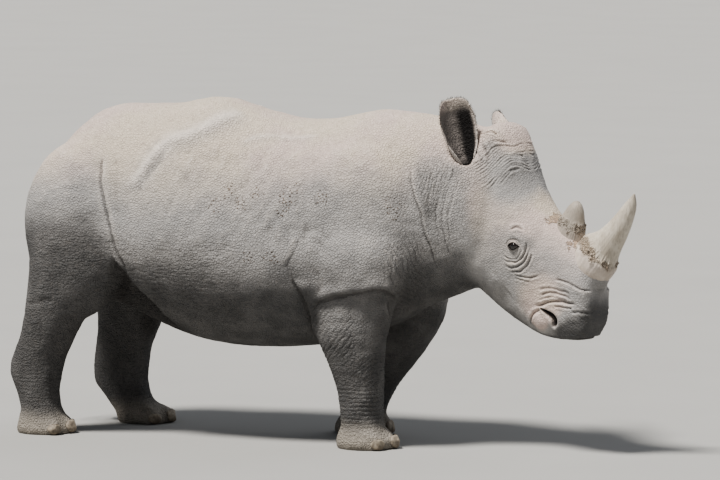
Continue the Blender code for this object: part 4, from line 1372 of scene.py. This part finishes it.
def hair(name, rows, surface):
    """Spikes from rows of root, way, bend, length, width and place on the opened-out skin."""
    steps = np.linspace(0, 1, 6)
    points, faces, patches = [], [], []
    for root, way, bend, length, width, flat in rows:
        way = way / np.linalg.norm(way)
        across = np.cross(way, bend + [0.013, 0.007, 0.011])
        across /= np.linalg.norm(across)
        upright = np.cross(across, way)
        start = len(points)
        for step in steps:
            middle = root + way * length * step + bend * length * step ** 2
            radius = 0.5 * width * (1 - 0.94 * step ** 1.4)
            for spin in (0.5, 2.6, 4.7):
                points.append(middle + radius * (across * math.cos(spin) +
                                                 0.6 * upright * math.sin(spin)))
        for ring in range(len(steps) - 1):
            for k in range(3):
                one, two = start + 3 * ring + k, start + 3 * ring + (k + 1) % 3
                faces.append((one, two, two + 3, one + 3))
        faces.append((start, start + 2, start + 1))
        faces.append(tuple(start + 3 * (len(steps) - 1) + k for k in range(3)))
        patches += [(flat, start)] * (3 * (len(steps) - 1) + 2)
    mesh = bpy.data.meshes.new(name)
    mesh.from_pydata(np.array(points).tolist(), [], faces)
    mesh.update()
    chart = mesh.uv_layers.new(name="OFBake")
    for face, (flat, start) in zip(mesh.polygons, patches):
        for loop in face.loop_indices:
            place = mesh.loops[loop].vertex_index - start
            chart.data[loop].uv = (flat[0] + PATCH * (place % 3) / 2,
                                   flat[1] + PATCH * (place // 3) / (len(steps) - 1))
    return piece(name, mesh, surface, "hide")


coat = Surface("dark_bristle", 0.6, Specular_IOR_Level=0.3)
lengthwise = coat.cloud(1.0, 3.0, coat.stretched((260.0, 260.0, 60.0)))
dusting = coat.cloud(30.0, 4.0)
bristle_colour = coat.mix(lengthwise.between(0.35, 0.65), shade(40, 37, 35), shade(74, 69, 64))
bristle_colour = coat.mix(dusting.between(0.48, 0.75) * 0.6, bristle_colour, shade(128, 121, 112))
coat.feed("Base Color", bristle_colour)
coat.feed("Roughness", dusting * 0.3 + 0.45)
coat.relief((lengthwise, 0.0004))
print("bristle material ready")

# %% [markdown]
# ## Hair on the ears' edges
# Nearly half of the bristles stand along the tip, and the rest thin out down both edges. They
# lean outwards and towards the tip, each one a little differently.

# %% Ear fringe
EAR_BRISTLES, TAIL_BRISTLES, EYE_BRISTLES = 330, 620, 26
fringe = []
for side, sign in SIDES.items():
    start, along, opened, across = ear_frame(side)
    for k in range(EAR_BRISTLES):
        spot = rng.uniform(-1, 1)
        part = 1.0 if abs(spot) < 0.45 else 1.0 - 0.62 * ((abs(spot) - 0.45) / 0.55) ** 1.2
        turn = spot / 0.45 if abs(spot) < 0.45 else np.sign(spot)
        root = np.array(ear_point(side, part, turn, rng.uniform(-0.003, 0.003)))
        axis = start + opened * 0.03 + along * EAR_LENGTH * part
        outward = (root - axis) / np.linalg.norm(root - axis)
        way = along * (1.0 if part == 1.0 else 0.55) + outward * (0.25 if part == 1.0 else 0.6)
        way = way + rng.normal(0, 0.16, 3)
        root = root - way / np.linalg.norm(way) * 0.003
        length = rng.uniform(0.010, 0.024) * (1.0 if part > 0.75 else 0.6) * (0.85 + 0.15 * sign)
        flat = (0.02 + 0.45 * (spot + 1) / 2 + (0.5 if side == "left" else 0), 0.05 + 0.9 * part)
        fringe.append((root, way, along * rng.uniform(-0.1, 0.2), length, 0.0018, flat))
hair("ear_fringe", fringe, coat)
print("bristles on the ears:", len(fringe))

# %% [markdown]
# ## The tail's tuft and the lashes
# The tail's hair starts about two thirds of the way down and hangs along it. The lashes stand
# in one row on the upper lid.

# %% Tail tuft and lashes
tail_rows = spline(TAIL, 60)
tuft = []
for k in range(TAIL_BRISTLES):
    level = rng.uniform(0.62, 1.0) ** 0.8
    x_at, z_at, thick = tail_rows[int(level * 59)]
    spin = rng.uniform(0, 2 * np.pi)
    around = np.array([math.cos(spin), math.sin(spin), 0.0])
    root = np.array([x_at, 0.0, z_at]) + around * thick * [0.85, 0.85, 0]
    way = around * [0.16, 0.30, 0] + [0, 0, -1.0] + rng.normal(0, 0.05, 3)
    bend = np.array([0.0, 0.0, -0.25]) - around * 0.14
    flat = (0.05 + 0.9 * spin / (2 * np.pi), 0.95 * level)
    tuft.append((root, way, bend, rng.uniform(0.05, 0.10), 0.0030, flat))
hair("tail_tuft", tuft, coat)

lashes = []
for side, sign in SIDES.items():
    out, long_way, short_way = (np.array(axis) for axis in EYE_AXES[side])
    for k in range(EYE_BRISTLES):
        a = rng.uniform(-0.85, 0.85) * OPENING[0]
        b = OPENING[1] * (1 - (a / OPENING[0]) ** 2) + 0.0012
        high = math.sqrt(max((EYE_RADIUS + LID) ** 2 - a * a - b * b, 1e-6)) - 0.001
        root = np.array(EYE_AT[side]) + long_way * a + short_way * b + out * high
        way = out + short_way * 0.25 + long_way * (a / OPENING[0]) * 0.5 + rng.normal(0, 0.1, 3)
        flat = (0.1 + 0.3 * (a / OPENING[0] + 1) / 2 + (0.5 if side == "left" else 0), 0.5)
        lashes.append((root, way, -short_way * 0.6, rng.uniform(0.008, 0.014), 0.0010, flat))
hair("lashes", lashes, coat)
print("bristles on tail and lids:", len(tuft), len(lashes))

# %% [markdown]
# ## Camera
# A long lens from 23 m, a little above the back, so that the animal keeps its true proportions.

# %% Camera
AZIMUTH, ELEVATION, DISTANCE = math.radians(20.0), math.radians(5.5), 23.0
FOCAL_LENGTH, SENSOR_WIDTH = 249.55, 36.0
TARGET = Vector((0.0342, 0.2327, 0.8929))
back = Vector((math.sin(AZIMUTH) * math.cos(ELEVATION),
               -math.cos(AZIMUTH) * math.cos(ELEVATION), math.sin(ELEVATION)))
right = Vector((math.cos(AZIMUTH), math.sin(AZIMUTH), 0.0))
lens = bpy.data.cameras.new("camera")
lens.lens = FOCAL_LENGTH
lens.sensor_width = SENSOR_WIDTH
lens.clip_end = 200.0
camera = bpy.data.objects.new("camera", lens)
axes = Matrix((right, back.cross(right), back)).transposed().to_4x4()
camera.matrix_world = Matrix.Translation(TARGET + back * DISTANCE) @ axes
bpy.context.scene.collection.objects.link(camera)
bpy.context.scene.camera = camera
print("camera at", [round(v, 2) for v in camera.matrix_world.translation])

# %% [markdown]
# ## Floor and light
# A pale floor, a faint bluish sky and two soft suns: the key stands high in front, and the fill
# opens the shadows from behind.

# %% Floor and light
FLOOR_HALF = 60
corners = [(x * FLOOR_HALF, y * FLOOR_HALF, 0) for x, y in ((-1, -1), (1, -1), (1, 1), (-1, 1))]
floor_mesh = bpy.data.meshes.new("floor")
floor_mesh.from_pydata(corners, [], [(0, 1, 2, 3)])
floor = bpy.data.objects.new("floor", floor_mesh)
bpy.context.scene.collection.objects.link(floor)
ground = Surface("studio_floor", 0.9, Specular_IOR_Level=0.1)
ground.feed("Base Color", ground.mix(ground.cloud(1.2), shade(158, 157, 154), shade(164, 163, 160)))
floor_mesh.materials.append(ground.material)

world = bpy.data.worlds.new("studio")
world.use_nodes = True
world.node_tree.nodes["Background"].inputs["Color"].default_value = (0.80, 0.84, 0.92, 1.0)
world.node_tree.nodes["Background"].inputs["Strength"].default_value = 0.24
bpy.context.scene.world = world


def sun(name, place, power, softness, colour):
    """A sun that shines from a place towards the origin; softness is its width in degrees."""
    data = bpy.data.lights.new(name, "SUN")
    data.energy = power
    data.color = colour
    data.angle = math.radians(softness)
    thing = bpy.data.objects.new(name, data)
    way = Vector((0, 0, 0)) - Vector(place)
    thing.matrix_world = (Matrix.Translation(place) @
                          way.to_track_quat("-Z", "Y").to_matrix().to_4x4())
    bpy.context.scene.collection.objects.link(thing)


sun("key", (-2.5, -3.6, 9.0), 4.6, 13, (1.0, 0.97, 0.93))
sun("fill", (3.0, 5.0, 4.5), 0.55, 60, (0.95, 0.97, 1.0))
looks = bpy.context.scene.view_settings
looks.view_transform = "AgX"
looks.look = "AgX - Medium High Contrast"
looks.exposure = 0.25
print("floor and light are set")
